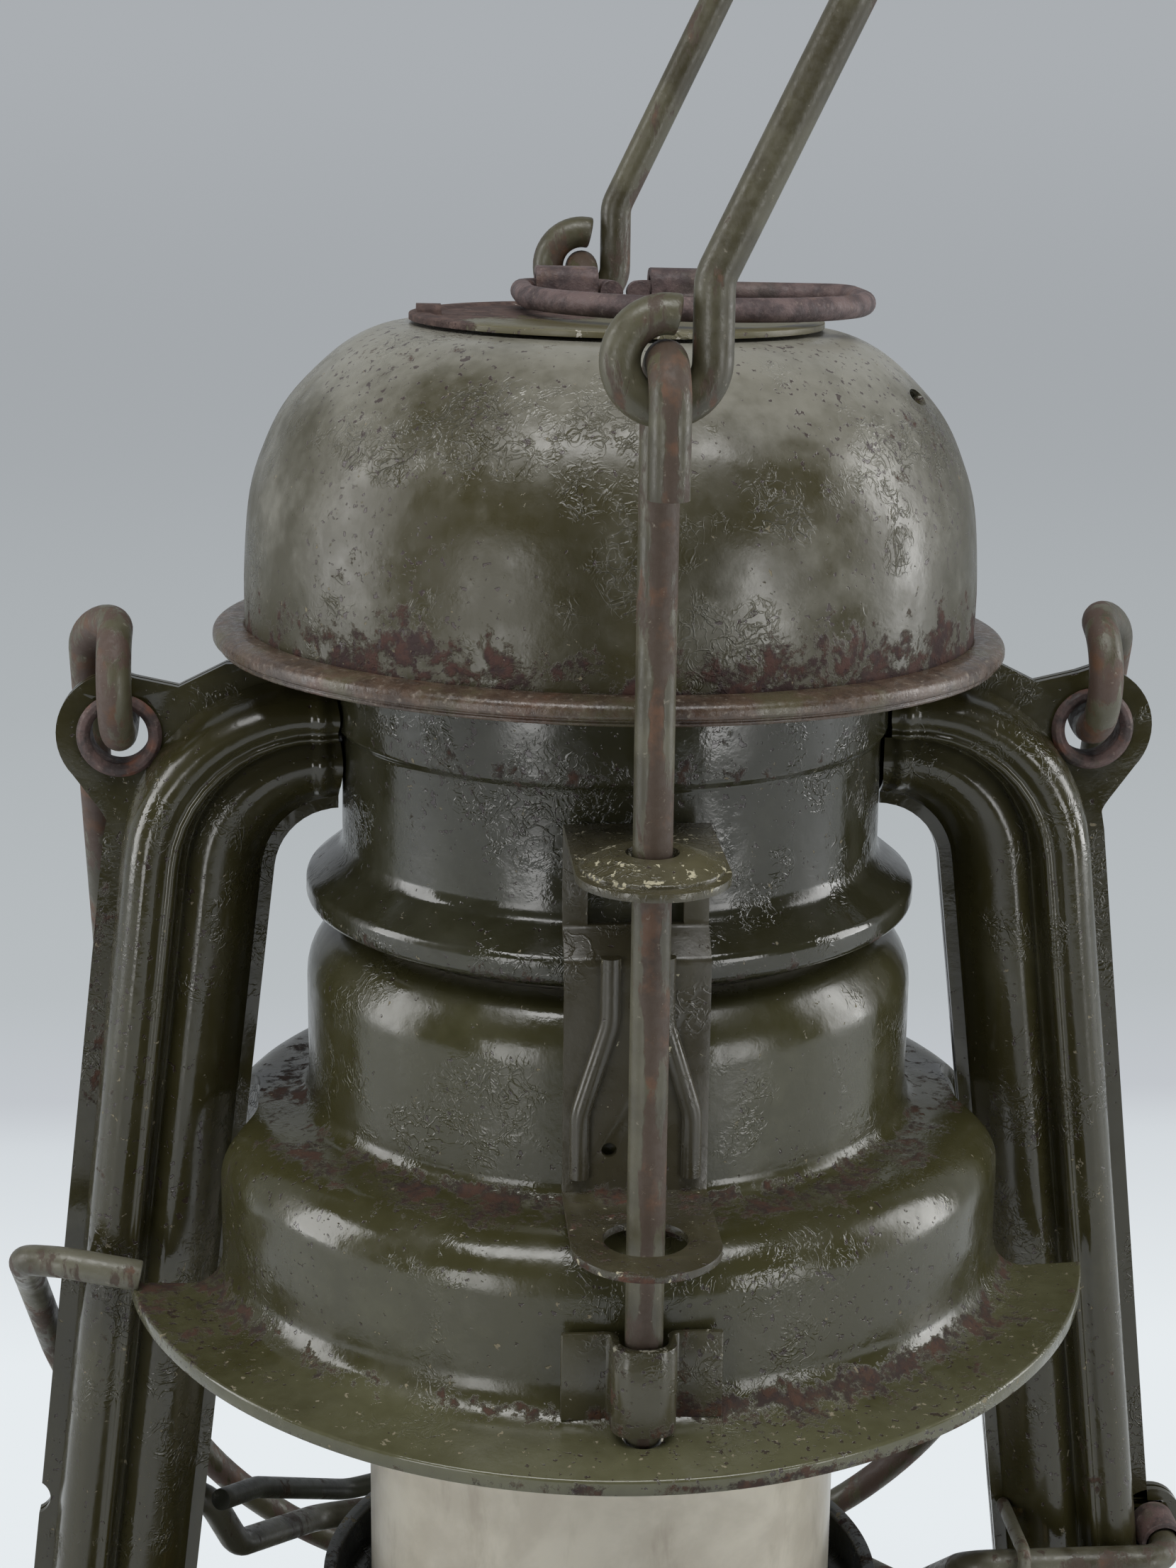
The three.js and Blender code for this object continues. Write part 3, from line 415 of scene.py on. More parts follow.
def stamped(name: str, outline: Line, low: float, high: float) -> Piece:
    """Stamps a flat plate from a sheet.

    Args:
        name: Name of the piece.
        outline: Outline in X and Y.
        low: Z of its lower face.
        high: Z of its upper face.

    Returns:
        The closed plate.
    """
    curve = bpy.data.curves.new(name, "CURVE")
    curve.dimensions = "2D"
    curve.fill_mode = "BOTH"
    curve.extrude = (high - low) / 2 * MM
    add_run(curve, [(spot.x * MM, spot.y * MM, 0.0) for spot in outline], closed=True)
    plate = baked(linked(name, curve), name)
    plate.data.transform(Matrix.Translation((0, 0, (low + high) / 2 * MM)))
    return cleaned(plate)


def box(low: Corner, high: Corner) -> Piece:
    """Makes a plain block, used only as a cutting tool.

    Args:
        low: Its lowest corner.
        high: Its highest corner.

    Returns:
        The block.
    """
    outline = [Vector((low[0], low[1])), Vector((high[0], low[1])),
               Vector((high[0], high[1])), Vector((low[0], high[1]))]
    return lofted("block", [[Vector((p.x, p.y, z)) for p in outline] for z in (low[2], high[2])])


def drill(radius: float, low: float, high: float, placing: Matrix = Matrix()) -> Piece:
    """Makes a round bar along Z, used only as a cutting tool.

    Args:
        radius: Its radius.
        low: Z of its foot.
        high: Z of its top.
        placing: Turns and moves it, in millimetres.

    Returns:
        The bar.
    """
    ring = arc(0, 0, radius, 0, 2 * math.pi, LOOP_STEPS)[:-1]
    return place(lofted("drill", [[Vector((p.x, p.y, z)) for p in ring] for z in (low, high)]), placing)


def place(obj: Piece, placing: Matrix) -> Piece:
    """Turns and moves an object's mesh.

    Args:
        obj: The object.
        placing: The move, in millimetres.

    Returns:
        The same object.
    """
    scaled = placing.copy()
    scaled.translation = placing.translation * MM
    obj.data.transform(scaled)
    if scaled.determinant() < 0:
        obj.data.flip_normals()
    return obj


def cleaned(obj: Piece, gap: float = CUT_MERGE, slivers: bool = True) -> Piece:
    """Merges doubled vertices and turns the normals outward.

    Args:
        obj: The object to clean.
        gap: Farthest apart that two vertices are merged, in metres.
        slivers: Whether faces without area are taken out too.

    Returns:
        The same object.
    """
    tidy = bmesh.new()
    tidy.from_mesh(obj.data)
    bmesh.ops.remove_doubles(tidy, verts=tidy.verts, dist=gap)
    if slivers:
        bmesh.ops.dissolve_degenerate(tidy, edges=tidy.edges, dist=DRAWN_MERGE)
    bmesh.ops.recalc_face_normals(tidy, faces=tidy.faces)
    tidy.to_mesh(obj.data)
    tidy.free()
    return obj


def baked(source: Piece, name: str) -> Piece:
    """Turns an object with its modifiers into a plain mesh object.

    Args:
        source: The object, which is removed.
        name: Name of the new object.

    Returns:
        The plain object.
    """
    graph = bpy.context.evaluated_depsgraph_get()
    mesh = bpy.data.meshes.new_from_object(source.evaluated_get(graph), depsgraph=graph)
    bpy.data.objects.remove(source)
    return linked(name, mesh)


def combined(target: Piece, operation: str, tools: Sequence[Piece]) -> Piece:
    """Cuts tools out of an object or welds them to it.

    Args:
        target: The object to change.
        operation: DIFFERENCE or UNION.
        tools: The other objects, which are removed.

    Returns:
        The new object.
    """
    for tool in tools:
        step = target.modifiers.new("weld", "BOOLEAN")
        step.operation = operation
        step.solver = "EXACT"
        step.object = tool
    made = baked(target, target.name)
    for tool in tools:
        bpy.data.objects.remove(tool)
    return cleaned(made)


def dented(obj: Piece, depth: float, size: float, seed: float) -> Piece:
    """Presses soft dents into a turned sheet, towards its axis.

    Args:
        obj: The object.
        depth: Deepest dent.
        size: Usual width of a dent.
        seed: Offset that picks the pattern.

    Returns:
        The same object.
    """
    for vertex in obj.data.vertices:
        away = Vector((vertex.co.x, vertex.co.y, 0.0))
        if away.length < 2 * MM:
            continue
        sample = vertex.co / (size * MM) + Vector((seed, 0.0, 0.0))
        push = depth * MM * (0.5 + 0.5 * noise.noise(sample))
        vertex.co -= away.normalized() * push
    return obj


# geometry nodes


class NodeMaker:
    """Adds nodes to its tree."""

    tree: bpy.types.NodeTree

    def feed(self, node: bpy.types.Node, inputs: dict[str | int, object]) -> None:
        """Sets a node's inputs.

        Args:
            node: The node.
            inputs: Value or output socket for each input.
        """
        for key, value in inputs.items():
            if isinstance(value, Socket):
                self.tree.links.new(value, node.inputs[key])
            else:
                node.inputs[key].default_value = value

    def add(self, kind: str, inputs: dict[str | int, object], **settings: object) -> bpy.types.Node:
        """Adds a node.

        Args:
            kind: Type of the node.
            inputs: Value or output socket for each input.
            settings: Properties of the node.

        Returns:
            The node.
        """
        node = self.tree.nodes.new(kind)
        for key, value in settings.items():
            setattr(node, key, value)
        self.feed(node, inputs)
        return node


@dataclass
class GeometryTree(NodeMaker):
    """A Geometry Nodes tree with named inputs, ending in one plain mesh."""

    name: str
    sizes: dict[str, float]
    tree: bpy.types.NodeTree = field(init=False)
    entry: bpy.types.Node = field(init=False)
    keys: dict[str, str] = field(init=False, default_factory=dict)

    def __post_init__(self) -> None:
        """Makes the tree, its sockets and its entry node."""
        self.tree = bpy.data.node_groups.new(self.name, "GeometryNodeTree")
        face = self.tree.interface
        face.new_socket("Geometry", in_out="INPUT", socket_type="NodeSocketGeometry")
        face.new_socket("Geometry", in_out="OUTPUT", socket_type="NodeSocketGeometry")
        for title, value in self.sizes.items():
            kind = "NodeSocketInt" if isinstance(value, int) else "NodeSocketFloat"
            socket = face.new_socket(title, in_out="INPUT", socket_type=kind)
            socket.default_value = value
            self.keys[title] = socket.identifier
        socket = face.new_socket("Finish", in_out="INPUT", socket_type="NodeSocketMaterial")
        self.keys["Finish"] = socket.identifier
        self.entry = self.tree.nodes.new("NodeGroupInput")

    def close(self, geometry: Socket) -> None:
        """Ends the tree in smooth shading, real geometry and its finish.

        Args:
            geometry: Socket with the instances or the mesh.
        """
        real = self.add("GeometryNodeRealizeInstances", {"Geometry": geometry})
        smooth = self.add("GeometryNodeSetShadeSmooth", {"Geometry": real.outputs["Geometry"]})
        dress = self.add("GeometryNodeSetMaterial", {
            "Geometry": smooth.outputs["Geometry"], "Material": self.entry.outputs["Finish"]})
        self.add("NodeGroupOutput", {"Geometry": dress.outputs["Geometry"]})

    def run(self, source: Piece, finish: Finish, **sizes: float) -> Piece:
        """Runs the tree on an object.

        Args:
            source: The object that carries the path or the seed point; it is removed.
            finish: Material of the result.
            sizes: Inputs by title, with spaces written as underscores.

        Returns:
            The plain mesh object, in millimetre sizes turned to metres.
        """
        step = source.modifiers.new(self.name, "NODES")
        step.node_group = self.tree
        step[self.keys["Finish"]] = finish
        for title, value in sizes.items():
            step[self.keys[title.replace("_", " ")]] = value
        return cleaned(baked(source, source.name))


def wire_tree() -> GeometryTree:
    """Builds the tree that draws round wire along a path.

    Returns:
        The tree, with inputs Wire Radius and Sides.
    """
    made = GeometryTree("wire_along_path", {"Wire Radius": 0.001, "Sides": 28})
    ring = made.add("GeometryNodeCurvePrimitiveCircle", {
        "Resolution": made.entry.outputs["Sides"], "Radius": made.entry.outputs["Wire Radius"]})
    skin = made.add("GeometryNodeCurveToMesh", {
        "Curve": made.entry.outputs["Geometry"], "Profile Curve": ring.outputs["Curve"],
        "Fill Caps": True})
    made.close(skin.outputs["Mesh"])
    return made


def grip_tree() -> GeometryTree:
    """Builds the tree that sets grip ribs round the Z axis.

    Returns:
        The tree, with inputs Grip Radius, Count, Rib Width and Rib Height.
    """
    made = GeometryTree("grip_ribs", {
        "Grip Radius": 0.006, "Count": 24, "Rib Width": 0.0005, "Rib Height": 0.002})
    ring = made.add("GeometryNodeMeshCircle", {
        "Vertices": made.entry.outputs["Count"], "Radius": made.entry.outputs["Grip Radius"]})
    rib = made.add("GeometryNodeMeshCylinder", {
        "Vertices": 10, "Radius": made.entry.outputs["Rib Width"],
        "Depth": made.entry.outputs["Rib Height"]})
    spread = made.add("GeometryNodeInstanceOnPoints", {
        "Points": ring.outputs["Mesh"], "Instance": rib.outputs["Mesh"]})
    made.close(spread.outputs["Instances"])
    return made


@dataclass
class Wirework:
    """Draws wires and grips through the Geometry Nodes trees."""

    wires: GeometryTree = field(default_factory=wire_tree)
    grips: GeometryTree = field(default_factory=grip_tree)

    def draw(self, name: str, corners: Sequence[Corner], radius: float, finish: Finish,
             sides: int = WIRE_SIDES) -> Piece:
        """Draws one wire.

        Args:
            name: Name of the piece.
            corners: Corners of its middle line, with a bend radius after three coordinates.
            radius: Radius of the wire.
            finish: Its material.
            sides: Number of sides of the wire.

        Returns:
            The wire.
        """
        line = self.even(rounded(corners, 3), WIRE_STEP * radius)
        curve = bpy.data.curves.new(name, "CURVE")
        curve.dimensions = "3D"
        add_run(curve, [spot * MM for spot in line], closed=False)
        return self.wires.run(linked(name, curve), finish, Wire_Radius=radius * MM, Sides=sides)

    @staticmethod
    def even(line: Line, longest: float) -> Line:
        """Splits long steps of a line, so that its skin has even faces.

        Args:
            line: Points of the line.
            longest: Longest step allowed.

        Returns:
            The finer line.
        """
        finer: Line = [line[0]]
        for point in line[1:]:
            start = finer[-1]
            gap = (point - start).length
            if gap < SHORTEST_STEP:
                continue
            count = max(1, math.ceil(gap / longest))
            finer += [start.lerp(point, step / count) for step in range(1, count + 1)]
        return finer

    def ribs(self, name: str, radius: float, count: int, width: float, height: float,
             finish: Finish) -> Piece:
        """Sets grip ribs round the Z axis, at height 0.

        Args:
            name: Name of the piece.
            radius: Radius of the ring of ribs.
            count: Number of ribs.
            width: Radius of one rib.
            height: Its height.
            finish: Its material.

        Returns:
            The ribs.
        """
        seed = mesh_object(name, [(0, 0, 0)], [])
        return self.grips.run(seed, finish, Grip_Radius=radius * MM, Count=count,
                              Rib_Width=width * MM, Rib_Height=height * MM)


# finishes


def srgb(red: float, green: float, blue: float) -> Colour:
    """Turns a screen colour into linear light.

    Args:
        red: Red, 0 to 255.
        green: Green, 0 to 255.
        blue: Blue, 0 to 255.

    Returns:
        The linear colour, opaque.
    """
    def linear(level: float) -> float:
        """Turns one screen level into linear light."""
        part = level / 255
        return part / 12.92 if part <= 0.04045 else ((part + 0.055) / 1.055) ** 2.4

    return (linear(red), linear(green), linear(blue), 1.0)


@dataclass(frozen=True)
class Band:
    """Where a coat wears more: a band across one axis."""

    centre: float
    reach: float
    amount: float
    axis: Axis = Axis.Z


class Shader(NodeMaker):
    """A material under construction, with short ways to its usual nodes."""

    def __init__(self, name: str) -> None:
        """Makes the material.

        Args:
            name: Name of the material.
        """
        self.material = bpy.data.materials.new(name)
        self.material.use_nodes = True
        self.tree = self.material.node_tree
        self.surface = self.tree.nodes["Principled BSDF"]
        self.place = self.tree.nodes.new("ShaderNodeTexCoord").outputs["Object"]
        self.axes = self.add("ShaderNodeSeparateXYZ", {0: self.place})

    def math(self, operation: str, first: object, second: object = 0.0) -> Socket:
        """Adds one sum; its output is the result."""
        return self.add("ShaderNodeMath", {0: first, 1: second}, operation=operation).outputs[0]

    def plus(self, first: object, second: object, weight: float = 1.0) -> Socket:
        """Adds a second level to a first.

        Args:
            first: The first level.
            second: The second level.
            weight: What the second is multiplied by.

        Returns:
            The sum.
        """
        if weight != 1.0:
            second = self.math("MULTIPLY", second, weight)
        return self.math("ADD", first, second)

    def noise(self, grain: float, detail: float = 3.0, rough: float = 0.5, twist: float = 0.0,
              stretch: tuple[float, float, float] = (1.0, 1.0, 1.0)) -> Socket:
        """Adds cloudy noise.

        Args:
            grain: Usual size of a patch, in millimetres.
            detail: Octaves.
            rough: Strength of the finer octaves.
            twist: Distortion.
            stretch: Scale along each axis.

        Returns:
            The level, mostly from 0.3 to 0.7.
        """
        moved = self.add("ShaderNodeMapping", {"Vector": self.place, "Scale": stretch})
        cloud = self.add("ShaderNodeTexNoise", {
            "Vector": moved.outputs[0], "Scale": 1 / (grain * MM), "Detail": detail,
            "Roughness": rough, "Distortion": twist})
        return cloud.outputs[0]

    def ridges(self, grain: float, twist: float = 0.4) -> Socket:
        """Adds thin curling ridges, as old paint wrinkles.

        Args:
            grain: Usual distance between ridges, in millimetres.
            twist: Distortion of their run.

        Returns:
            The level, 1 on a ridge.
        """
        away = self.math("ABSOLUTE", self.math("SUBTRACT", self.noise(grain, 2, 0.5, twist), 0.5))
        return self.ramp(away, 0.0, 0.055, 1.0, 0.0)

    def ramp(self, level: object, low: float, high: float, start: float = 0.0,
             end: float = 1.0) -> Socket:
        """Maps a level softly from one range to another.

        Args:
            level: The level.
            low: Level that gives start.
            high: Level that gives end.
            start: Result at low.
            end: Result at high.

        Returns:
            The mapped level.
        """
        return self.add("ShaderNodeMapRange", {
            "Value": level, "From Min": low, "From Max": high, "To Min": start, "To Max": end,
        }, interpolation_type="SMOOTHSTEP").outputs["Result"]

    def mix(self, share: object, first: object, second: object) -> Socket:
        """Mixes two colours.

        Args:
            share: Share of the second.
            first: The first colour.
            second: The second colour.

        Returns:
            The mixed colour.
        """
        return self.add("ShaderNodeMix", {0: share, 6: first, 7: second},
                        data_type="RGBA").outputs[2]

    def band(self, band: Band) -> Socket:
        """Adds a level that is highest in the middle of a band.

        Args:
            band: The band.

        Returns:
            The level, 0 outside it.
        """
        away = self.math("ABSOLUTE", self.math(
            "SUBTRACT", self.axes.outputs[band.axis.value], band.centre * MM))
        return self.ramp(away, 0.0, band.reach * MM, band.amount, 0.0)

    def bands(self, bands: Sequence[Band]) -> Socket | float:
        """Adds up bands.

        Args:
            bands: The bands.

        Returns:
            Their sum, or 0 where there are none.
        """
        total: Socket | float = 0.0
        for item in bands:
            total = self.plus(self.band(item), total)
        return total

    def bump(self, heights: Sequence[tuple[object, float]]) -> None:
        """Gives the surface relief.

        Args:
            heights: Levels, each with its height in millimetres.
        """
        total: Socket | float = 0.0
        for level, height in heights:
            total = self.plus(total, level, height)
        relief = self.add("ShaderNodeBump", {"Height": total, "Strength": 1.0, "Distance": MM})
        self.dress(Normal=relief.outputs[0])

    def dress(self, **inputs: object) -> Finish:
        """Sets the surface's inputs, their spaces written as underscores.

        Args:
            inputs: Value or socket for each input.

        Returns:
            The finished material.
        """
        self.feed(self.surface, {key.replace("_", " "): value for key, value in inputs.items()})
        return self.material


@dataclass(frozen=True)
class Enamel:
    """Old semi-gloss olive enamel: wrinkled, specked, chipped, with rust in its creases, and a pale tone that
    also paints sheen on upward faces.
    """

    name: str
    deep: Colour = srgb(56, 53, 33)
    # pale tone of the coat in random blotches; the sheen bands also lay it on upward faces as painted sheen
    pale_and_sheen: Colour = srgb(86, 86, 70)
    rust: Colour = srgb(66, 45, 36)
    old_rust: Colour = srgb(44, 33, 32)
    chip: Colour = srgb(128, 120, 100)
    gloss: float = 0.33
    worn_gloss: float = 0.78
    rust_share: float = 0.0
    sheen_bands: tuple[Band, ...] = ()
    rust_bands: tuple[Band, ...] = ()
    chip_bands: tuple[Band, ...] = ()
    crackle_bands: tuple[Band, ...] = ()
    crackle_height: float = 0.05
    wave_height: float = 0.16
    grain_height: float = 0.022
    rust_height: float = 0.12
    speck_depth: float = 0.03
    skin_height: float = 0.006
    blotches: Cloud = (14, 4, 0.6)
    grains: Cloud = (1.1, 3, 0.6)
    spreads: Cloud = (30, 2, 0.5)
    rust_clouds: Cloud = (3.2, 8, 0.72, 0.4)
    rust_grains: Cloud = (0.9, 4, 0.7)
    rust_tones: Cloud = (1.6, 4, 0.7)
    rust_pits: Cloud = (0.8, 5, 0.7)
    specks: Cloud = (0.7, 2, 0.6)
    chips: Cloud = (0.95, 3, 0.65, 0.3)
    crackles: Cloud = (9, 3, 0.6)
    skin: Cloud = (0.28, 2, 0.5)
    gloss_clouds: Cloud = (5, 4, 0.6)
    curls: tuple[Pair, Pair] = ((1.9, 1.4), (1.0, 0.8))
    pale_and_sheen_edge: Pair = (0.58, 1.02)
    rust_edge: Pair = (0.6, 0.67)
    tone_edge: Pair = (0.42, 0.62)
    speck_edge: Pair = (0.665, 0.71)
    chip_edge: Pair = (0.69, 0.73)
    crackle_edge: Pair = (0.52, 0.66)

    def build(self) -> Finish:
        """Makes the material.

        Returns:
            The material.
        """
        s = Shader(self.name)
        blotch, grain, spread = (s.noise(*cloud) for cloud in (self.blotches, self.grains, self.spreads))
        # pale tone: random blotches, plus painted sheen where the sheen bands lie on upward faces
        pale_and_sheen_share = s.ramp(s.plus(s.plus(blotch, s.bands(self.sheen_bands)), grain, 0.2), *self.pale_and_sheen_edge)
        coat = s.mix(pale_and_sheen_share, self.deep, self.pale_and_sheen)
        broken = s.plus(s.math("MULTIPLY", s.noise(*self.rust_clouds), 0.5),
                        s.noise(*self.rust_grains), 0.25)
        rusty = s.ramp(s.plus(s.plus(broken, spread, 0.25), s.bands(self.rust_bands)),
                       *(level - self.rust_share for level in self.rust_edge))
        rust = s.mix(s.ramp(s.noise(*self.rust_tones), *self.tone_edge), self.old_rust, self.rust)
        coat = s.mix(s.math("MULTIPLY", rusty, 0.9), coat, rust)
        denser = s.ramp(spread, 0.4, 0.65, -0.05, 0.05)
        speck = s.ramp(s.plus(s.noise(*self.specks), denser), *self.speck_edge)
        coat = s.mix(s.math("MULTIPLY", speck, 0.8), coat, self.old_rust)
        chipped = s.ramp(s.plus(s.noise(*self.chips), s.bands(self.chip_bands)), *self.chip_edge)
        coat = s.mix(s.math("MULTIPLY", chipped, 0.75), coat, self.chip)
        crackled = s.ramp(s.plus(s.noise(*self.crackles), s.bands(self.crackle_bands)), *self.crackle_edge)
        large, small = (s.ridges(*curl) for curl in self.curls)
        s.bump([
            (blotch, self.wave_height), (grain, self.grain_height),
            (s.math("MULTIPLY", s.plus(large, small, 0.5), crackled), self.crackle_height),
            (s.math("MULTIPLY", rusty, s.noise(*self.rust_pits)), self.rust_height),
            (speck, -self.speck_depth), (chipped, -self.speck_depth),
            (s.noise(*self.skin), self.skin_height),
        ])
        worn = s.math("MAXIMUM", rusty, chipped)
        rough = s.plus(s.ramp(worn, 0.0, 1.0, self.gloss, self.worn_gloss),
                       s.ramp(s.noise(*self.gloss_clouds), 0.35, 0.65, -0.06, 0.1))
        shine = s.ramp(worn, 0, 1, 0.55, 0.25)
        return s.dress(Base_Color=coat, Roughness=rough, Specular_IOR_Level=shine)


@dataclass(frozen=True)
class Rust:
    """Bare sheet or wire eaten by rust, pitted and rough."""

    name: str
    dark: Colour = srgb(52, 42, 40)
    brown: Colour = srgb(84, 66, 62)
    orange: Colour = srgb(108, 66, 48)
    pale: Colour = srgb(134, 122, 114)
    coat: Colour = srgb(70, 70, 54)
    coat_share: float = 0.25
    pit_height: float = 0.16
    grain_height: float = 0.05
    smooth: float = 0.52
    rough: float = 0.82
    pits: Cloud = (2.6, 6, 0.7)
    grains: Cloud = (0.6, 4, 0.7)
    stains: Cloud = (4.2, 4, 0.6)
    flakes: Cloud = (6, 4, 0.65)

    def build(self) -> Finish:
        """Makes the material.

        Returns:
            The material.
        """
        s = Shader(self.name)
        patch, fine = s.noise(*self.pits), s.noise(*self.grains)
        tone = s.mix(s.ramp(patch, 0.4, 0.6), self.dark, self.brown)
        tone = s.mix(s.ramp(s.noise(*self.stains), 0.56, 0.68, 0.0, 0.8), tone, self.orange)
        tone = s.mix(s.ramp(fine, 0.55, 0.75, 0.0, 0.5), tone, self.pale)
        kept = s.ramp(s.noise(*self.flakes), 0.62 - 0.3 * self.coat_share, 0.66, 0.0, self.coat_share * 2)
        tone = s.mix(kept, tone, self.coat)
        s.bump([(patch, self.pit_height), (fine, self.grain_height)])
        rough = s.ramp(fine, 0.35, 0.65, self.smooth, self.rough)
        return s.dress(Base_Color=tone, Roughness=rough, Specular_IOR_Level=0.5)


@dataclass(frozen=True)
class WornWire:
    """Thick wire whose olive paint has worn through to brown steel."""

    name: str
    paint: Colour = srgb(76, 73, 56)
    shadow: Colour = srgb(56, 52, 36)
    brown: Colour = srgb(60, 46, 35)
    orange: Colour = srgb(84, 57, 38)
    pale: Colour = srgb(146, 140, 126)
    worn_middle: float | None = None
    worn_half_width: float = 0.9
    worn_level: float = 0.22
    rust_bands: tuple[Band, ...] = ()
    brown_share: float = 0.5
    patches: Cloud = (3.4, 6, 0.68, 0.2)
    grains: Cloud = (0.7, 4, 0.7)
    shades: Cloud = (7, 3, 0.6)
    stains: Cloud = (2.4, 4, 0.6)
    stretch: tuple[float, float, float] = (1.0, 1.0, 0.35)

    def build(self) -> Finish:
        """Makes the material.

        Returns:
            The material.
        """
        s = Shader(self.name)
        patch = s.noise(*self.patches, stretch=self.stretch)
        fine = s.noise(*self.grains)
        coat = s.mix(s.ramp(s.noise(*self.shades), 0.4, 0.6), self.shadow, self.paint)
        share: object = s.plus(patch, s.bands(self.rust_bands))
        if self.worn_middle is not None:
            rubbed = Band(self.worn_middle, self.worn_half_width, self.worn_level, Axis.X)
            share = s.plus(share, s.band(rubbed))
        edge = 0.64 - 0.22 * self.brown_share
        browned = s.ramp(share, edge, edge + 0.07)
        rust = s.mix(s.ramp(s.noise(*self.stains), 0.5, 0.68), self.brown, self.orange)
        tone = s.mix(s.math("MULTIPLY", browned, 0.92), coat, rust)
        tone = s.mix(s.ramp(fine, 0.62, 0.76, 0.0, 0.5), tone, self.pale)
        s.bump([(patch, 0.07), (fine, 0.028), (browned, -0.02)])
        rough = s.plus(s.ramp(browned, 0, 1, 0.38, 0.62), s.ramp(fine, 0.4, 0.6, -0.05, 0.1))
        return s.dress(Base_Color=tone, Roughness=rough, Specular_IOR_Level=0.5)


@dataclass(frozen=True)
class PlainMetal:
    """Dull bare metal with a soft tarnish, for the burner and the small steel parts."""

    name: str
    bright: Colour
    tarnish: Colour
    rough: float = 0.42

    def build(self) -> Finish:
        """Makes the material.

        Returns:
            The material.
        """
        s = Shader(self.name)
        cloud = s.noise(3.2, 6, 0.65)
        tone = s.mix(s.ramp(cloud, 0.4, 0.62), self.bright, self.tarnish)
        s.bump([(cloud, 0.03), (s.noise(0.5, 3, 0.6), 0.008)])
        rough = s.ramp(cloud, 0.3, 0.7, self.rough - 0.1, self.rough + 0.2)
        return s.dress(Base_Color=tone, Metallic=0.9, Roughness=rough)


@dataclass(frozen=True)
class Woven:
    """Cotton of the wick or the oiled seal under the cap."""

    name: str
    thread: Colour
    gap: Colour
    pitch: float = 0.7

    def build(self) -> Finish:
        """Makes the material.

        Returns:
            The material.
        """
        s = Shader(self.name)
        weave = s.noise(self.pitch, 2, 0.5, 0.0, (1.0, 1.0, 0.5))
        stain = s.noise(5, 4, 0.6)
        tone = s.mix(s.ramp(weave, 0.4, 0.6), self.gap, self.thread)
        tone = s.mix(s.ramp(stain, 0.5, 0.75, 0.0, 0.5), tone, self.gap)
        s.bump([(weave, 0.1)])
        return s.dress(Base_Color=tone, Roughness=0.9, Specular_IOR_Level=0.2)


@dataclass(frozen=True)
class Frosting:
    """Frosted cream-grey glass, nearly opaque, with smears of old soot."""

    name: str
    clear: Colour = srgb(184, 178, 163)
    clouded: Colour = srgb(168, 161, 146)
    soot: Colour = srgb(140, 131, 115)

    def build(self) -> Finish:
        """Makes the material.

        Returns:
            The material.
        """
        s = Shader(self.name)
        cloud = s.noise(9, 5, 0.6, 0.3)
        streak = s.noise(5, 5, 0.65, 0.2, (1.0, 1.0, 0.3))
        tone = s.mix(s.ramp(cloud, 0.38, 0.62), self.clear, self.clouded)
        tone = s.mix(s.ramp(streak, 0.56, 0.72, 0.0, 0.5), tone, self.soot)
        s.bump([(s.noise(0.4, 3, 0.6), 0.006), (cloud, 0.02)])
        rough = s.ramp(streak, 0.35, 0.65, 0.3, 0.5)
        return s.dress(Base_Color=tone, Roughness=rough, Subsurface_Weight=0.25,
                       Subsurface_Radius=(0.002, 0.002, 0.0015), Specular_IOR_Level=0.5)


# fitting


def fitted(obj: Piece, body: Body, slot: Slot, finish: Finish,
           *nodes: str, edge: float = EDGE_BREAK) -> Piece:
    """Breaks a piece's edges, dresses it and puts it on its body.

    The pieces of the canopy and its ring are leaned first, as the photograph shows them.

    Args:
        obj: The piece.
        body: The CAD body it rides on.
        slot: The record's slot of its finish; not used.
        finish: Its material.
        nodes: CAD nodes it stands for.
        edge: Width of its broken edges, 0 to leave them.

    Returns:
        The finished piece.
    """
    if body in (Body.CANOPY, Body.RING):
        place(obj, CANOPY_LEAN)
    if edge:
        step = obj.modifiers.new("edges", "BEVEL")
        step.width = edge * MM
        step.segments = 2
        step.limit_method = "ANGLE"
        step.angle_limit = BEVEL_ANGLE
        obj = baked(obj, obj.name)
    mesh = obj.data
    mesh.materials.clear()
    mesh.materials.append(finish)
    mesh.polygons.foreach_set("material_index", [0] * len(mesh.polygons))
    mesh.polygons.foreach_set("use_smooth", [True] * len(mesh.polygons))
    mesh.set_sharp_from_angle(angle=CREASE_ANGLE)
    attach(obj, body.value)
    if nodes:
        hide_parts(*nodes)
    LOG.info("piece %s on %s: %d faces", obj.name, body.value, len(mesh.polygons))
    return obj


@dataclass
class Maker:
    """Makes one group of pieces, with the loaded frame and the shared wire trees."""

    frame: dict
    wirework: Wirework

    def carried(self, node: str, slot: Slot, finish: Finish) -> None:
        """Dresses a CAD node that is shown as it is.

        Args:
            node: Name of the node.
            slot: The record's slot of its finish; not used.
            finish: Its material.
        """
        obj = self.frame["nodes"][node]
        obj.data.materials.clear()
        obj.data.materials.append(finish)
        LOG.info("kept CAD node %s", node)


# tank and burner


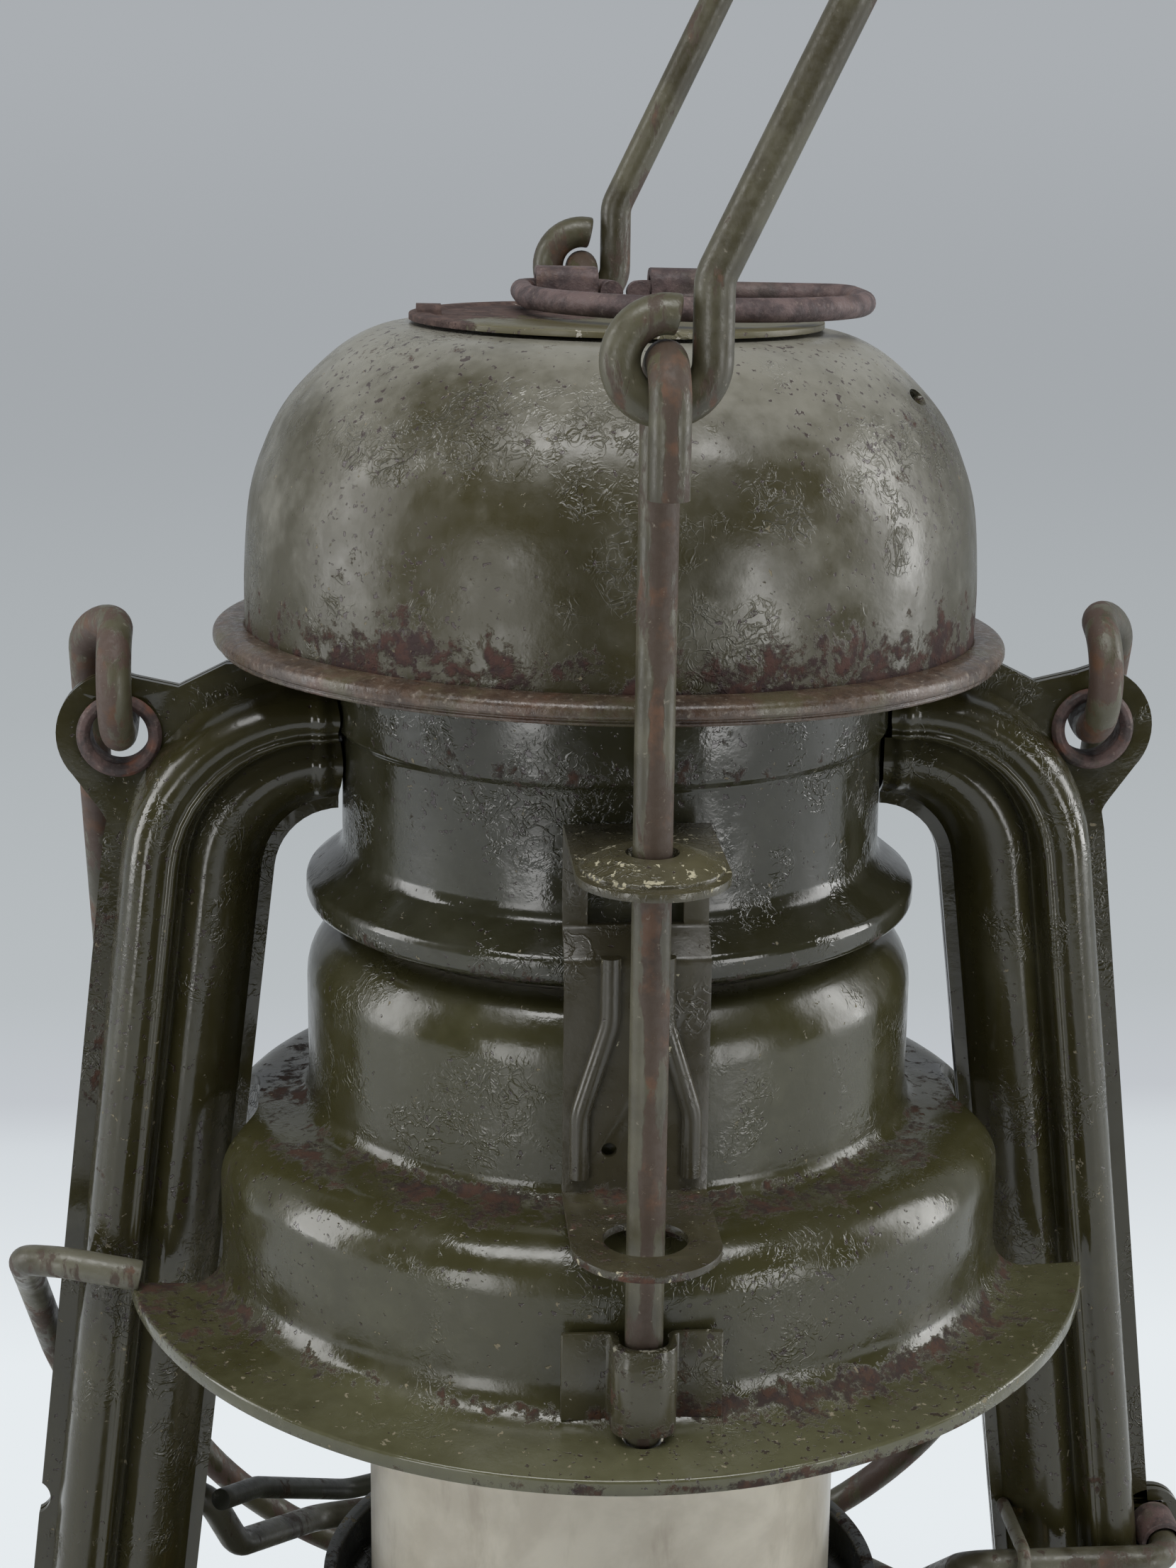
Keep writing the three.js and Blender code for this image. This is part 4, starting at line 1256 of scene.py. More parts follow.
@dataclass
class Tank(Maker):
    """Fuel tank with its filler, cap and the air chamber on top."""

    radius: float = 49.0
    height: float = 33.0
    shoulder: float = 5.0
    collar_radius: float = 14.0
    collar_height: float = 4.0
    groove: tuple[Pair, ...] = ((0.0, 7.0), (0.35, 8.0), (0.35, 9.2), (0.0, 10.2))
    groove_bend: float = 0.6
    filler: Pair = (-19.1, -33.082)
    mouth_gap: float = 0.1
    filler_bore: float = 5.0
    filler_flange: float = 7.1
    filler_height: float = 4.4
    cap_radius: float = 7.2
    cap_foot: float = 34.4
    cap_height: float = 4.8
    cap_sheet: float = 0.8
    cap_bends: Pair = (1.0, 0.4)
    cap_dish: Pair = (0.62, 0.56)
    cap_dish_depth: float = 0.45
    cap_ribs: int = 36
    cap_rib: float = 0.28
    cap_rib_foot: float = 0.3
    cap_rib_margin: float = 1.6
    chamber_height: float = 12.4
    chamber_hole: float = 16.5

    def build(self) -> None:
        """Builds and fits the pieces."""
        olive = Enamel("tank_enamel", rust_bands=(Band(1, 5, 0.16), Band(self.height, 2.5, 0.08)),
                       # painted sheen: this band pales the tank's upward shoulder
                       sheen_bands=(Band(self.height, 6, 0.2),)).build()
        self.shell(olive)
        self.chamber(olive)
        self.neck(olive)
        self.cap(olive)
        seal = Woven("oiled_seal", srgb(52, 44, 36), srgb(30, 25, 20)).build()
        self.carried("filler_gasket", Slot.CORK, seal)
        self.carried("tank_bottom", Slot.OLIVE, olive)

    def shell(self, olive: Finish) -> None:
        """Spins the tank's drawn shell and opens it under the filler.

        Args:
            olive: The enamel.
        """
        section = thick([
            (self.radius, BEND),
            *((self.radius - inset, z, self.groove_bend) for inset, z in self.groove),
            (self.radius, self.height, self.shoulder), (self.collar_radius, self.height, BEND),
            (self.collar_radius, self.height + self.collar_height)])
        shell = turned("tank_shell_skin", section)
        hole = drill(self.filler_bore + self.mouth_gap, self.height - OVERRUN, self.height + OVERRUN,
                     Matrix.Translation((*self.filler, 0)))
        fitted(combined(shell, "DIFFERENCE", [hole]), Body.FRAME, Slot.OLIVE, olive, "tank_shell")

    def chamber(self, olive: Finish) -> None:
        """Spins the air chamber.

        Args:
            olive: The enamel.
        """
        top = self.height + SEAT_GAP + self.chamber_height
        section = thick([
            (CHAMBER_RADIUS, self.height + SEAT_GAP), (CHAMBER_RADIUS, top, 2 * BEND),
            (self.chamber_hole, top, BEND), (self.chamber_hole, top - 2 * BEND)])
        fitted(turned("air_chamber_skin", section), Body.FRAME, Slot.OLIVE, olive, "air_chamber")

    def neck(self, olive: Finish) -> None:
        """Spins the filler neck and its flange.

        Args:
            olive: The enamel.
        """
        foot = self.height + SEAT_GAP
        top = foot + self.filler_height
        bore, wall, flange = self.filler_bore, self.filler_bore + SHEET, self.filler_flange
        section = rounded([(bore, foot), (flange, foot), (flange, foot + SHEET), (wall, foot + SHEET),
                           (wall, top), (bore, top)])
        neck = turned("filler_neck_skin", section, SMALL_STEPS)
        place(neck, Matrix.Translation((*self.filler, 0)))
        fitted(neck, Body.FRAME, Slot.OLIVE, olive, "filler_neck")

    def cap(self, olive: Finish) -> None:
        """Spins the cap and sets its grip ribs.

        Args:
            olive: The enamel.
        """
        inner = self.cap_radius - self.cap_rib
        top = self.cap_foot + self.cap_height
        outer_bend, inner_bend = self.cap_bends
        wide, narrow = (share * inner for share in self.cap_dish)
        section = thick([
            (inner, self.cap_foot), (inner, top, outer_bend), (wide, top, inner_bend),
            (narrow, top - self.cap_dish_depth, inner_bend), (0.0, top - self.cap_dish_depth),
        ], self.cap_sheet)
        cap = turned("filler_cap_skin", section, SMALL_STEPS)
        place(cap, Matrix.Translation((*self.filler, 0)))
        fitted(cap, Body.FUEL_CAP, Slot.OLIVE, olive, "filler_cap")
        height = self.cap_height - self.cap_rib_margin
        ribs = self.wirework.ribs("filler_cap_ribs", inner - RIB_SINK, self.cap_ribs, self.cap_rib,
                                  height, olive)
        place(ribs, Matrix.Translation((*self.filler, self.cap_foot + self.cap_rib_foot + height / 2)))
        fitted(ribs, Body.FUEL_CAP, Slot.OLIVE, olive, edge=0.0)


@dataclass
class Burner(Maker):
    """Flat-wick burner and its knob, turned towards the front right."""

    turn: float = math.radians(-60)
    shaft_y: float = -3.8
    shaft_z: float = 40.6
    knob_radius: float = 6.0
    knob_start: float = 36.0
    knob_end: float = 38.2
    knob_face: tuple[Corner, ...] = ((0.55, 0.0), (0.62, 0.35, 0.3), (1.0, 0.2, 0.3))
    shaft_hole: float = 1.2
    grips: int = 30
    grip: float = 0.3
    grip_margin: float = 0.5

    def build(self) -> None:
        """Dresses the CAD pieces inside the globe and builds the knob."""
        brass = PlainMetal("burner_brass", srgb(172, 148, 96), srgb(108, 88, 56)).build()
        steel = PlainMetal("dull_steel", srgb(150, 148, 142), srgb(92, 84, 76), 0.5).build()
        cotton = Woven("wick_cotton", srgb(202, 192, 168), srgb(142, 128, 104)).build()
        for node in ("burner_base", "wick_tube", "burner_cone"):
            self.carried(node, Slot.BRASS, brass)
        for node in ("wick_shaft", "wick_sprocket", "canopy_spring"):
            self.carried(node, Slot.STEEL, steel)
        self.carried("wick", Slot.COTTON, cotton)
        self.knob(brass)

    def knob(self, brass: Finish) -> None:
        """Turns the knob and sets its grips.

        Args:
            brass: Its finish.
        """
        edge = self.knob_radius - self.grip
        half = (self.knob_end - self.knob_start) / 2
        near = [(share * edge, -half + inset, *bends) for share, inset, *bends in self.knob_face]
        far = [(radius, -z, *bends) for radius, z, *bends in reversed(near)]
        section = rounded([(self.shaft_hole, -half), *near, *far, (self.shaft_hole, half)])
        standing = (Matrix.Rotation(self.turn, 4, "Z")
                    @ Matrix.Translation((self.knob_start + half, self.shaft_y, self.shaft_z))
                    @ Matrix.Rotation(QUARTER, 4, "Y"))
        knob = place(turned("wick_knob_disc", section, SMALL_STEPS), standing)
        fitted(knob, Body.KNOB, Slot.BRASS, brass, "wick_knob", edge=0.05)
        grips = self.wirework.ribs("wick_knob_grips", edge - RIB_SINK, self.grips, self.grip,
                                   2 * half - self.grip_margin, brass)
        fitted(place(grips, standing), Body.KNOB, Slot.BRASS, brass, edge=0.0)


# air frame


@dataclass
class AirTubes(Maker):
    """The two side tubes, each pressed in halves, with ears, eyelets and the lever's lug."""

    width: float = 14.3
    depth: float = 6.3
    throat_share: float = 0.88
    mid_x: float = 36.8
    mid_z: float = 118.0
    splay: float = math.radians(7)
    top_z: float = 141.2
    foot_z: float = 40.4
    start_x: float = 21.3
    end_x: float = 26.8
    outer_bend: float = 17.2
    inner_bend: float = 5.6
    foot_outer_bend: float = 19.6
    foot_inner_bend: float = 5.3
    path_step: float = 3.0
    lip_step: float = 0.4
    lip_height: float = 0.4
    lip_reach: float = 0.8
    lip_x: float = 23.9
    ear_z: float = 141.3
    ear_radius: float = 5.2
    ear_foot: tuple[Corner, ...] = (
        (-0.35, -0.94), (0.1, -1.95), (0.26, -1.35, 0.9), (0.73, -0.69))
    ear_start: float = -QUARTER / 2 + 0.06
    ear_back: tuple[Pair, ...] = ((-0.27, 0.91), (-0.94, 0.76))
    ear_root: tuple[float, float, float] = (31.8, 28.7, 29.9)
    eyelet_bore: float = 2.35
    eyelet_wall: float = 0.5
    eyelet_radius: float = 3.5
    notch: tuple[float, float, float] = (-50.5, 72.0, 1.7)
    lug_radius: float = 2.9
    lug_bore: float = 1.6
    throat_step_z: float = 142.2
    chamber_top: float = 49.7
    section_shares: tuple[Pair, ...] = (
        (0, 0), (0.11, 0), (0.128, 0.4), (0.17, 0.78), (0.25, 0.98), (0.33, 1.0), (0.395, 0.9),
        (0.43, 0.93), (0.458, 0.85), (0.49, 0.5), (0.53, 0.55), (0.62, 0.67), (0.72, 0.61),
        (0.82, 0.42), (0.925, 0), (1, 0))

    def build(self) -> None:
        """Builds and fits the halves and the eyelets."""
        olive = Enamel(
            "tube_enamel", gloss=0.16, wave_height=0.08, deep=srgb(46, 43, 24), pale_and_sheen=srgb(66, 64, 44),
            rust_share=-0.045,
            rust_bands=(Band(EAR_X + 3, 5, 0.08, Axis.X), Band(-EAR_X - 3, 5, 0.08, Axis.X),
                        Band(149, 4, 0.09)),
            chip_bands=(Band(-41, 3, 0.03, Axis.X), Band(41, 3, 0.03, Axis.X))).build()
        rust = Rust("eyelet_rust", coat_share=0.3).build()
        for side in Side:
            name = side.name.lower()
            for face in Face:
                node = f"{name}_tube_{face.name.lower()}"
                fitted(self.half(f"{node}_skin", side, face), Body.FRAME, Slot.OLIVE, olive, node, edge=0.08)
            self.eyelet(name, side, rust)

    def splay_at(self, z: float) -> float:
        """X of the tube's middle at a height."""
        return self.mid_x + (self.mid_z - z) * math.tan(self.splay)

    def edge_line(self, sign: int, bends: tuple[float, float]) -> Line:
        """One edge of the right tube, from the throat to the air chamber.

        Args:
            sign: 1 for the outer edge, -1 for the inner one.
            bends: Bend radii at the shoulder and at the foot.

        Returns:
            Points in X and Z.
        """
        across = sign * self.width / 2
        top = self.top_z + across * self.throat_share
        foot = self.foot_z - across
        slant = across / math.cos(self.splay)
        return rounded([
            (self.start_x, top), (self.splay_at(top) + slant, top, bends[0]),
            (self.splay_at(foot) + slant, foot, bends[1]), (self.end_x, foot)])

    def edges(self) -> list[tuple[Vector, Vector]]:
        """Outer and inner edge of the right tube, matched point by point.

        Returns:
            The pairs, close together near the throat.
        """
        outer = self.edge_line(1, (self.outer_bend, self.foot_outer_bend))
        inner = self.edge_line(-1, (self.inner_bend, self.foot_inner_bend))
        pairs = [(outer[0], inner[0])]
        for far, near in zip(outer[1:], inner[1:]):
            start, begin = pairs[-1]
            near_lip = near.x < self.lip_x + 2 * self.lip_reach and far.y > self.mid_z
            longest = self.lip_step if near_lip else self.path_step
            count = max(1, math.ceil((far - start).length / longest))
            pairs += [(start.lerp(far, k / count), begin.lerp(near, k / count))
                      for k in range(1, count + 1)]
        return pairs

    def section(self) -> Line:
        """Section of one pressed half, from its outer edge inward and out from the seam.

        Returns:
            The closed section.
        """
        rise = self.depth - SHEET
        flat = [Vector(((u - 0.5) * self.width, SEAT_GAP / 2 + SHEET + v * rise))
                for u, v in self.section_shares]
        outer = [flat[0], *smoothed(flat[1:-1]), flat[-1]]
        floor = SEAT_GAP / 2
        return outer + [Vector((p.x, max(p.y - SHEET, floor))) for p in reversed(outer)]

    def half(self, name: str, side: Side, face: Face) -> Piece:
        """Lofts one half along its path and welds its ear and lug to it.

        Args:
            name: Name of the piece.
            side: Which tube.
            face: Which half.

        Returns:
            The half.
        """
        section = self.section()
        rings = []
        for outer, inner in self.edges():
            ring = []
            for p in section:
                spot = outer.lerp(inner, p.x / self.width + 0.5)
                away = abs(spot.x - self.lip_x) / self.lip_reach if spot.y > self.mid_z else 1.0
                swell = self.lip_height * max(0.0, 1 - away * away) * min(1.0, max(0.0, p.y - SHEET))
                ring.append(Vector((side.value * spot.x, face.value * (p.y + swell), spot.y)))
            rings.append(ring)
        parts = [self.ear(side, face)]
        if side is Side.RIGHT:
            parts.append(self.lever_lug(face))
        shell = combined(lofted(name, rings), "UNION", parts)
        return combined(shell, "DIFFERENCE", self.cutters(side))

    def ear(self, side: Side, face: Face) -> Piece:
        """Stamps the ear that carries the bail.

        Args:
            side: Which tube.
            face: Which half.

        Returns:
            The ear, standing in X and Z.
        """
        x, z, r = EAR_X, self.ear_z, self.ear_radius
        root = self.top_z + self.width / 2 * self.throat_share - SEAT_GAP
        outline = rounded([(x + r * across, z + r * up, *(r * bend for bend in bends))
                           for across, up, *bends in self.ear_foot])
        outline += arc(x, z, r, self.ear_start, QUARTER, 18)
        outline += [Vector((x + r * across, z + r * up)) for across, up in self.ear_back]
        outline += [Vector(spot) for spot in zip(self.ear_root, (root, root, z))]
        ear = stamped("ear", [Vector((side.value * p.x, p.y)) for p in outline],
                      SEAT_GAP / 2, SEAT_GAP / 2 + SHEET)
        return place(ear, self.standing(face))

    @staticmethod
    def standing(face: Face) -> Matrix:
        """Stands a plate up in X and Z, its thickness away from the seam on that face."""
        return Matrix(((1, 0, 0, 0), (0, 0, face.value, 0), (0, 1, 0, 0), (0, 0, 0, 1)))

    def lever_lug(self, face: Face) -> Piece:
        """Stamps the lug that the lever turns in.

        Args:
            face: Which half.

        Returns:
            The lug.
        """
        outline = arc(*LEVER_PIVOT, self.lug_radius, 0, 2 * math.pi, 36)[:-1]
        lug = stamped("lug", outline, SEAT_GAP / 2, SEAT_GAP / 2 + SHEET)
        return place(lug, self.standing(face))

    def cutters(self, side: Side) -> list[Piece]:
        """Tools that open the eyelet's hole, the throat and the notch or pivot.

        Args:
            side: Which tube.

        Returns:
            The cutting tools.
        """
        tools = [
            drill(self.eyelet_bore + self.eyelet_wall + SEAT_GAP, -OVERRUN, OVERRUN, self.at_ear(side)),
            drill(THROAT_RADIUS + SEAT_GAP, self.mid_z, self.throat_step_z),
            drill(THROAT_RADIUS + THROAT_STEP + SEAT_GAP,
                  self.throat_step_z - SHEET, self.top_z + 4 * OVERRUN),
            drill(CHAMBER_RADIUS + SEAT_GAP, 0, self.chamber_top),
        ]
        x, z, r = self.notch if side is Side.LEFT else (*LEVER_PIVOT, self.lug_bore)
        return [*tools, drill(r, -OVERRUN, OVERRUN, Matrix.Translation((x, 0, z)) @ LYING)]

    def at_ear(self, side: Side) -> Matrix:
        """Lays a bar or ring into that side's ear."""
        return Matrix.Translation((side.value * EAR_X, 0, self.ear_z)) @ LYING

    def eyelet(self, name: str, side: Side, rust: Finish) -> None:
        """Turns the folded eyelet of an ear.

        Args:
            name: Name of the side.
            side: Which tube.
            rust: Its finish.
        """
        reach = SEAT_GAP / 2 + SHEET + SEAT_GAP
        bore, wall, rim = self.eyelet_bore, self.eyelet_wall, self.eyelet_radius
        upper = rounded([
            (bore, 0.0), (bore, reach + 0.1, 0.3), (bore + 0.45, reach + wall, 0.25),
            (rim - 0.3, reach + wall * 0.9, 0.2), (rim, reach + 0.1, 0.1), (rim, reach),
            (bore + wall, reach), (bore + wall, 0.0)])
        lower = [Vector((p.x, -p.y)) for p in reversed(upper)]
        eyelet = place(turned(f"{name}_ear_eyelet_ring", upper + lower, SMALL_STEPS), self.at_ear(side))
        fitted(eyelet, Body.FRAME, Slot.RUST, rust, f"{name}_ear_eyelet", edge=0.0)


@dataclass
class Throat(Maker):
    """Throat between the tubes, with the guides that the hood's rods run in."""

    radius: float = THROAT_RADIUS
    step: float = THROAT_STEP
    step_z: float = 141.9
    top_z: float = 160.0
    flare: float = 25.6
    flare_z: float = 131.8
    foot_z: float = 127.5
    mouth: float = 16.6
    guide_width: float = 11.2
    guide_foot: float = 110.5
    window_z: float = 131.9
    window_height: float = 7.0
    rail: float = 1.9
    tab_z: float = 139.5
    reach: float = 42.0
    lip_z: float = 129.3
    rib: float = 0.8
    rib_spread: float = 2.6
    rib_foot_share: float = 0.77
    peg_share: float = 0.36
    upper_hole: float = 1.95
    lower_hole: float = 3.2
    boss_radius: float = 5.3
    boss_height: float = 1.2

    def build(self) -> None:
        """Builds and fits the throat and both guides."""
        olive = Enamel(
            "throat_enamel", gloss=0.15, deep=srgb(42, 41, 27), pale_and_sheen=srgb(60, 60, 46),
            wave_height=0.1, rust_bands=(Band(self.foot_z, 2.0, 0.1), Band(143, 3, 0.05)),
            crackle_bands=(Band(136, 3, 0.05),)).build()
        guide = Enamel(
            "guide_enamel", gloss=0.28, deep=srgb(52, 48, 34), pale_and_sheen=srgb(82, 78, 58),
            rust=srgb(78, 52, 40), chip=srgb(176, 170, 146),
            # painted sheen: these bands pale the upper tab with its boss and the lower tab, on their upward
            # faces
            sheen_bands=(Band(self.tab_z + 1, 3.0, 0.2), Band(self.guide_foot, 1.4, 0.12)),
            rust_bands=(Band(self.tab_z, 1.0, 0.05), Band(self.guide_foot, 1.5, 0.1)),
            chip_bands=(Band(self.tab_z + 1, 1.6, 0.1), Band(self.guide_foot, 1.0, 0.05)),
            crackle_bands=(Band(self.tab_z + 1, 2, 0.2),)).build()
        self.shell(olive)
        for face in Face:
            self.guide(face, guide)

    def shell(self, olive: Finish) -> None:
        """Spins the throat and dents it.

        Args:
            olive: The enamel.
        """
        band = self.radius + self.step
        section = thick([
            (self.flare - 2 * BEND, self.foot_z - BEND),
            (self.flare, self.foot_z, BEND), (self.flare, self.lip_z, BEND),
            (self.radius, self.flare_z, 2 * BEND), (self.radius, self.step_z, self.step),
            (band, self.step_z + self.step, self.step), (band, self.top_z, 2 * BEND),
            (self.mouth, self.top_z)])
        throat = dented(turned("throat_skin", section), depth=0.12, size=9.0, seed=2.0)
        fitted(throat, Body.FRAME, Slot.OLIVE, olive, "throat")

    def guide(self, face: Face, enamel: Finish) -> None:
        """Builds one guide: a strip with a window, two ring tabs, a boss and two ribs.

        Args:
            face: Front or back.
            enamel: Its finish.
        """
        name = f"{face.word}_guide"
        at_rod = Matrix.Translation((0, ROD_PLACE, 0))
        strip_y = self.flare + SEAT_GAP + SHEET
        inner_y = self.radius + self.step + SEAT_GAP + SHEET
        half = self.guide_width / 2
        strip = extruded(f"{name}_strip", thick([
            (strip_y, self.guide_foot), (strip_y, self.lip_z + BEND / 2, BEND),
            (inner_y, self.window_z, BEND), (inner_y, self.tab_z)]), self.guide_width)
        low = combined(self.tab(inner_y, self.guide_foot), "DIFFERENCE",
                       [drill(strip_y - SHEET / 2, 0, self.flare_z)])
        high = self.tab(inner_y, self.tab_z - SHEET / 2)
        top = self.tab_z + SHEET / 2
        boss = turned("boss", rounded([
            (self.upper_hole, top - SHEET / 2), (self.boss_radius, top - SHEET / 2),
            (self.boss_radius, top + 0.25, 0.2), (self.boss_radius * 0.6, top + self.boss_height, 1.6),
            (self.upper_hole, top + self.boss_height)]), SMALL_STEPS)
        body = combined(strip, "UNION", [low, high, place(boss, at_rod)])
        body = combined(body, "DIFFERENCE", [
            box((-half + self.rail, 0, self.window_z),
                (half - self.rail, strip_y + BEND, self.window_z + self.window_height)),
            drill(self.upper_hole, self.window_z + self.window_height - SHEET,
                  self.tab_z + OVERRUN, at_rod),
            drill(self.lower_hole, self.guide_foot - OVERRUN, self.guide_foot + OVERRUN, at_rod),
            drill(SHEET, 0, strip_y + OVERRUN, Matrix.Translation(
                (half * self.peg_share, 0, self.guide_foot + OVERRUN)) @ Matrix.Rotation(-QUARTER, 4, "X")),
        ])
        body.name = f"{name}_body"
        fitted(place(body, face.spin), Body.FRAME, Slot.OLIVE, enamel, name, edge=0.12)
        for side in Side:
            upper_x = side.value * self.rib * self.rib_spread
            lower_x = side.value * half * self.rib_foot_share
            rib = self.wirework.draw(f"{name}_rib_{side.name.lower()}", [
                (upper_x, strip_y, self.window_z - 2 * BEND),
                (upper_x, strip_y, self.window_z - self.window_height, OVERRUN),
                (lower_x, strip_y, self.guide_foot + self.window_height, OVERRUN),
                (lower_x, strip_y, self.guide_foot + 2 * BEND),
            ], self.rib, enamel, THIN_WIRE_SIDES)
            fitted(place(rib, face.spin), Body.FRAME, Slot.OLIVE, enamel, edge=0.0)

    def tab(self, inner_y: float, low: float) -> Piece:
        """Stamps a ring tab.

        Args:
            inner_y: Y where it starts.
            low: Z of its lower face.

        Returns:
            The tab, without its hole.
        """
        half = self.guide_width / 2
        start = inner_y - SHEET / 2
        bow = arc(0, self.reach - half, half, 0, math.pi, 32)
        return stamped("tab", [Vector((half, start)), *bow, Vector((-half, start))], low, low + SHEET)


# canopy


@dataclass
class Canopy(Maker):
    """Domed canopy with a beaded brim, its top plate, straps and folding lift ring."""

    radius: float = 29.9
    brim_radius: float = 32.4
    brim_z: float = 149.1
    bead: float = 1.1
    bead_overlap: float = 0.4
    lip_inset: float = 0.6
    top_z: float = 174.4
    plate_radius: float = 16.7
    mouth: float = 13.8
    slot_z: float = 170.0
    slot_angle: float = math.radians(-22)
    slot_size: Pair = (1.7, 0.6)
    slot_share: float = 0.82
    dome_shares: tuple[Pair, ...] = (
        (1, 0.24), (0.983, 0.467), (0.943, 0.62), (0.893, 0.739), (0.819, 0.842),
        (0.729, 0.933), (0.642, 0.984))
    plate_rim: tuple[Corner, ...] = ((0.0, 0.1, 0.1), (0.5, 0.0, 0.2), (1.6, 0.0, 0.2), (2.1, 0.2, 0.2))
    plate_dip: float = 0.2
    lug_size: float = 2.6
    lug_width: float = 2.0
    lug_sheet: float = 1.0
    lug_bend: float = 0.5
    ring_wire: float = 0.95
    ring_radius: float = 13.8
    ring_middle: Pair = (6.6, 3.1)
    ring_ends: Pair = (0.3, 2.5)
    ring_tail: float = 2.2
    ring_bends: Pair = (1.1, 2.0)
    ring_sides: int = 20
    strap_width: float = 5.2
    strap_sheet: float = 0.7
    strap_foot: float = 1.8
    strap_bend: float = 0.35
    strap_arch: float = 0.9
    strap_places: Pair = (-3.4, 6.2)

    def build(self) -> None:
        """Builds and fits the canopy's pieces."""
        olive = Enamel(
            "canopy_enamel", gloss=0.31, deep=srgb(54, 50, 29), pale_and_sheen=srgb(124, 122, 112),
            rust=srgb(70, 47, 42), old_rust=srgb(50, 36, 37),
            # painted sheen: this band makes the top of the dome pale, where light from above falls
            sheen_bands=(Band(181, 17, 0.62),),
            rust_bands=(Band(150.2, 1.8, 0.15), Band(153.0, 5.0, 0.12)),
            crackle_bands=(Band(168, 6.5, 0.09),), crackle_height=0.07, wave_height=0.12).build()
        rust = Rust("ring_rust", dark=srgb(62, 50, 50), brown=srgb(96, 80, 78),
                    orange=srgb(92, 70, 60), coat_share=0.1, pit_height=0.22).build()
        lid = Enamel(
            "plate_enamel", gloss=0.38, deep=srgb(84, 79, 54), pale_and_sheen=srgb(112, 108, 88),
            rust=srgb(92, 74, 70), old_rust=srgb(66, 52, 52), chip=srgb(186, 182, 172),
            rust_bands=(Band(8, 17, 0.34, Axis.Y), Band(-15, 5, 0.2, Axis.X)),
            # pale chips along the plate's front rim: partly real chipping, partly a painted highlight on that
            # rim
            chip_bands=(Band(-self.plate_radius, 1.6, 0.14, Axis.Y),)).build()
        self.dome(olive)
        self.rim(Rust("bead_wear", dark=srgb(58, 46, 37), brown=srgb(78, 63, 51),
                      orange=srgb(80, 58, 46), pale=srgb(156, 146, 132), coat=srgb(74, 69, 50),
                      coat_share=0.45, pit_height=0.06, smooth=0.22, rough=0.45).build())
        self.plate(lid)
        self.carried("chimney_sleeve", Slot.OLIVE, olive)
        self.ring(rust)
        for name, x in zip(("left", "right"), self.strap_places):
            self.strap(name, x, rust)

    def dome(self, olive: Finish) -> None:
        """Spins the dome and cuts the small slot.

        Args:
            olive: The enamel.
        """
        rise = self.top_z - self.brim_z
        points = [Vector((self.radius, self.brim_z + 0.8))]
        points += [Vector((r * self.radius, self.brim_z + z * rise)) for r, z in self.dome_shares]
        points += [Vector((self.plate_radius, self.top_z)), Vector((self.mouth, self.top_z))]
        line = [(p.x, min(p.y, self.top_z)) for p in smoothed(points)]
        dome = turned("canopy_dome_skin", thick(line), FINE_STEPS)
        length, width = self.slot_size
        slot = drill(width, -OVERRUN, OVERRUN, Matrix.Diagonal((length / width, 1, 1, 1)))
        place(slot, Matrix.Rotation(QUARTER + self.slot_angle, 4, "Z")
              @ Matrix.Translation((0, -self.radius * self.slot_share, self.slot_z)) @ LYING)
        dome = dented(combined(dome, "DIFFERENCE", [slot]), depth=0.14, size=13.0, seed=7.0)
        fitted(dome, Body.CANOPY, Slot.OLIVE, olive, "canopy_dome", edge=0.06)

    def rim(self, worn: Finish) -> None:
        """Spins the rolled bead and the thin lip under it.

        Args:
            worn: Its finish.
        """
        wall, edge, bead, middle = self.radius, self.brim_radius, self.bead, self.brim_z
        foot, top = middle - 0.7 * bead, middle + 1.1 * bead
        root, lip = wall - self.bead_overlap, edge - self.lip_inset
        section = rounded([
            (root, middle + bead), (wall + 0.1, top, 0.3), (wall + bead, top, 0.5),
            (edge, middle + 0.8 * bead, 0.7 * bead), (edge, middle - 0.2 * bead, 0.4 * bead),
            (lip, foot + 0.45, 0.2), (edge - 0.45, foot + 0.2, 0.15), (lip, foot, 0.15),
            (wall + bead, foot, 0.4), (wall + 0.2, middle, 0.3), (root, middle + 0.6)])
        fitted(turned("canopy_bead", section, FINE_STEPS), Body.CANOPY, Slot.OLIVE, worn, edge=0.0)

    def plate(self, enamel: Finish) -> None:
        """Spins the top plate and welds its small lug on.

        Args:
            enamel: Its finish.
        """
        foot = self.top_z + SEAT_GAP
        top = foot + SHEET
        section = rounded([
            (0.0, foot), (self.plate_radius, foot),
            *((self.plate_radius - inset, top - drop, bend) for inset, drop, bend in self.plate_rim),
            (0.0, top - self.plate_dip)])
        disc = turned("canopy_plate_disc", section)
        half, bend = self.lug_size / 2, self.lug_bend
        lug = extruded("plate_lug", thick([
            (half, foot + SHEET / 2), (half, top + SHEET, bend), (-half, top + SHEET, bend),
            (-half, foot + SHEET / 2)], self.lug_sheet), self.lug_width,
            -self.plate_radius + SHEET + self.lug_sheet)
        fitted(combined(disc, "UNION", [lug]), Body.CANOPY, Slot.RUST, enamel, "canopy_plate")

    def ring(self, rust: Finish) -> None:
        """Draws the lift ring lying on the plate.

        Args:
            rust: Its finish.
        """
        x, y = self.ring_middle
        z, hinge, r = RING_Z, RING_HINGE_Y, self.ring_radius
        (left, right), (tight, wide), tail = self.ring_ends, self.ring_bends, hinge - self.ring_tail
        bow = [(p.x, p.y, z) for p in arc(x, y, r, math.pi, 2 * math.pi, LOOP_STEPS)]
        ring = self.wirework.draw("lift_ring_wire", [
            (left, tail, z), (left, hinge, z, tight), (x - r, hinge, z, wide), *bow,
            (x + r, hinge, z, wide), (right, hinge, z, tight), (right, tail, z),
        ], self.ring_wire, rust, self.ring_sides)
        fitted(ring, Body.RING, Slot.RUST, rust, "lift_ring", edge=0.0)

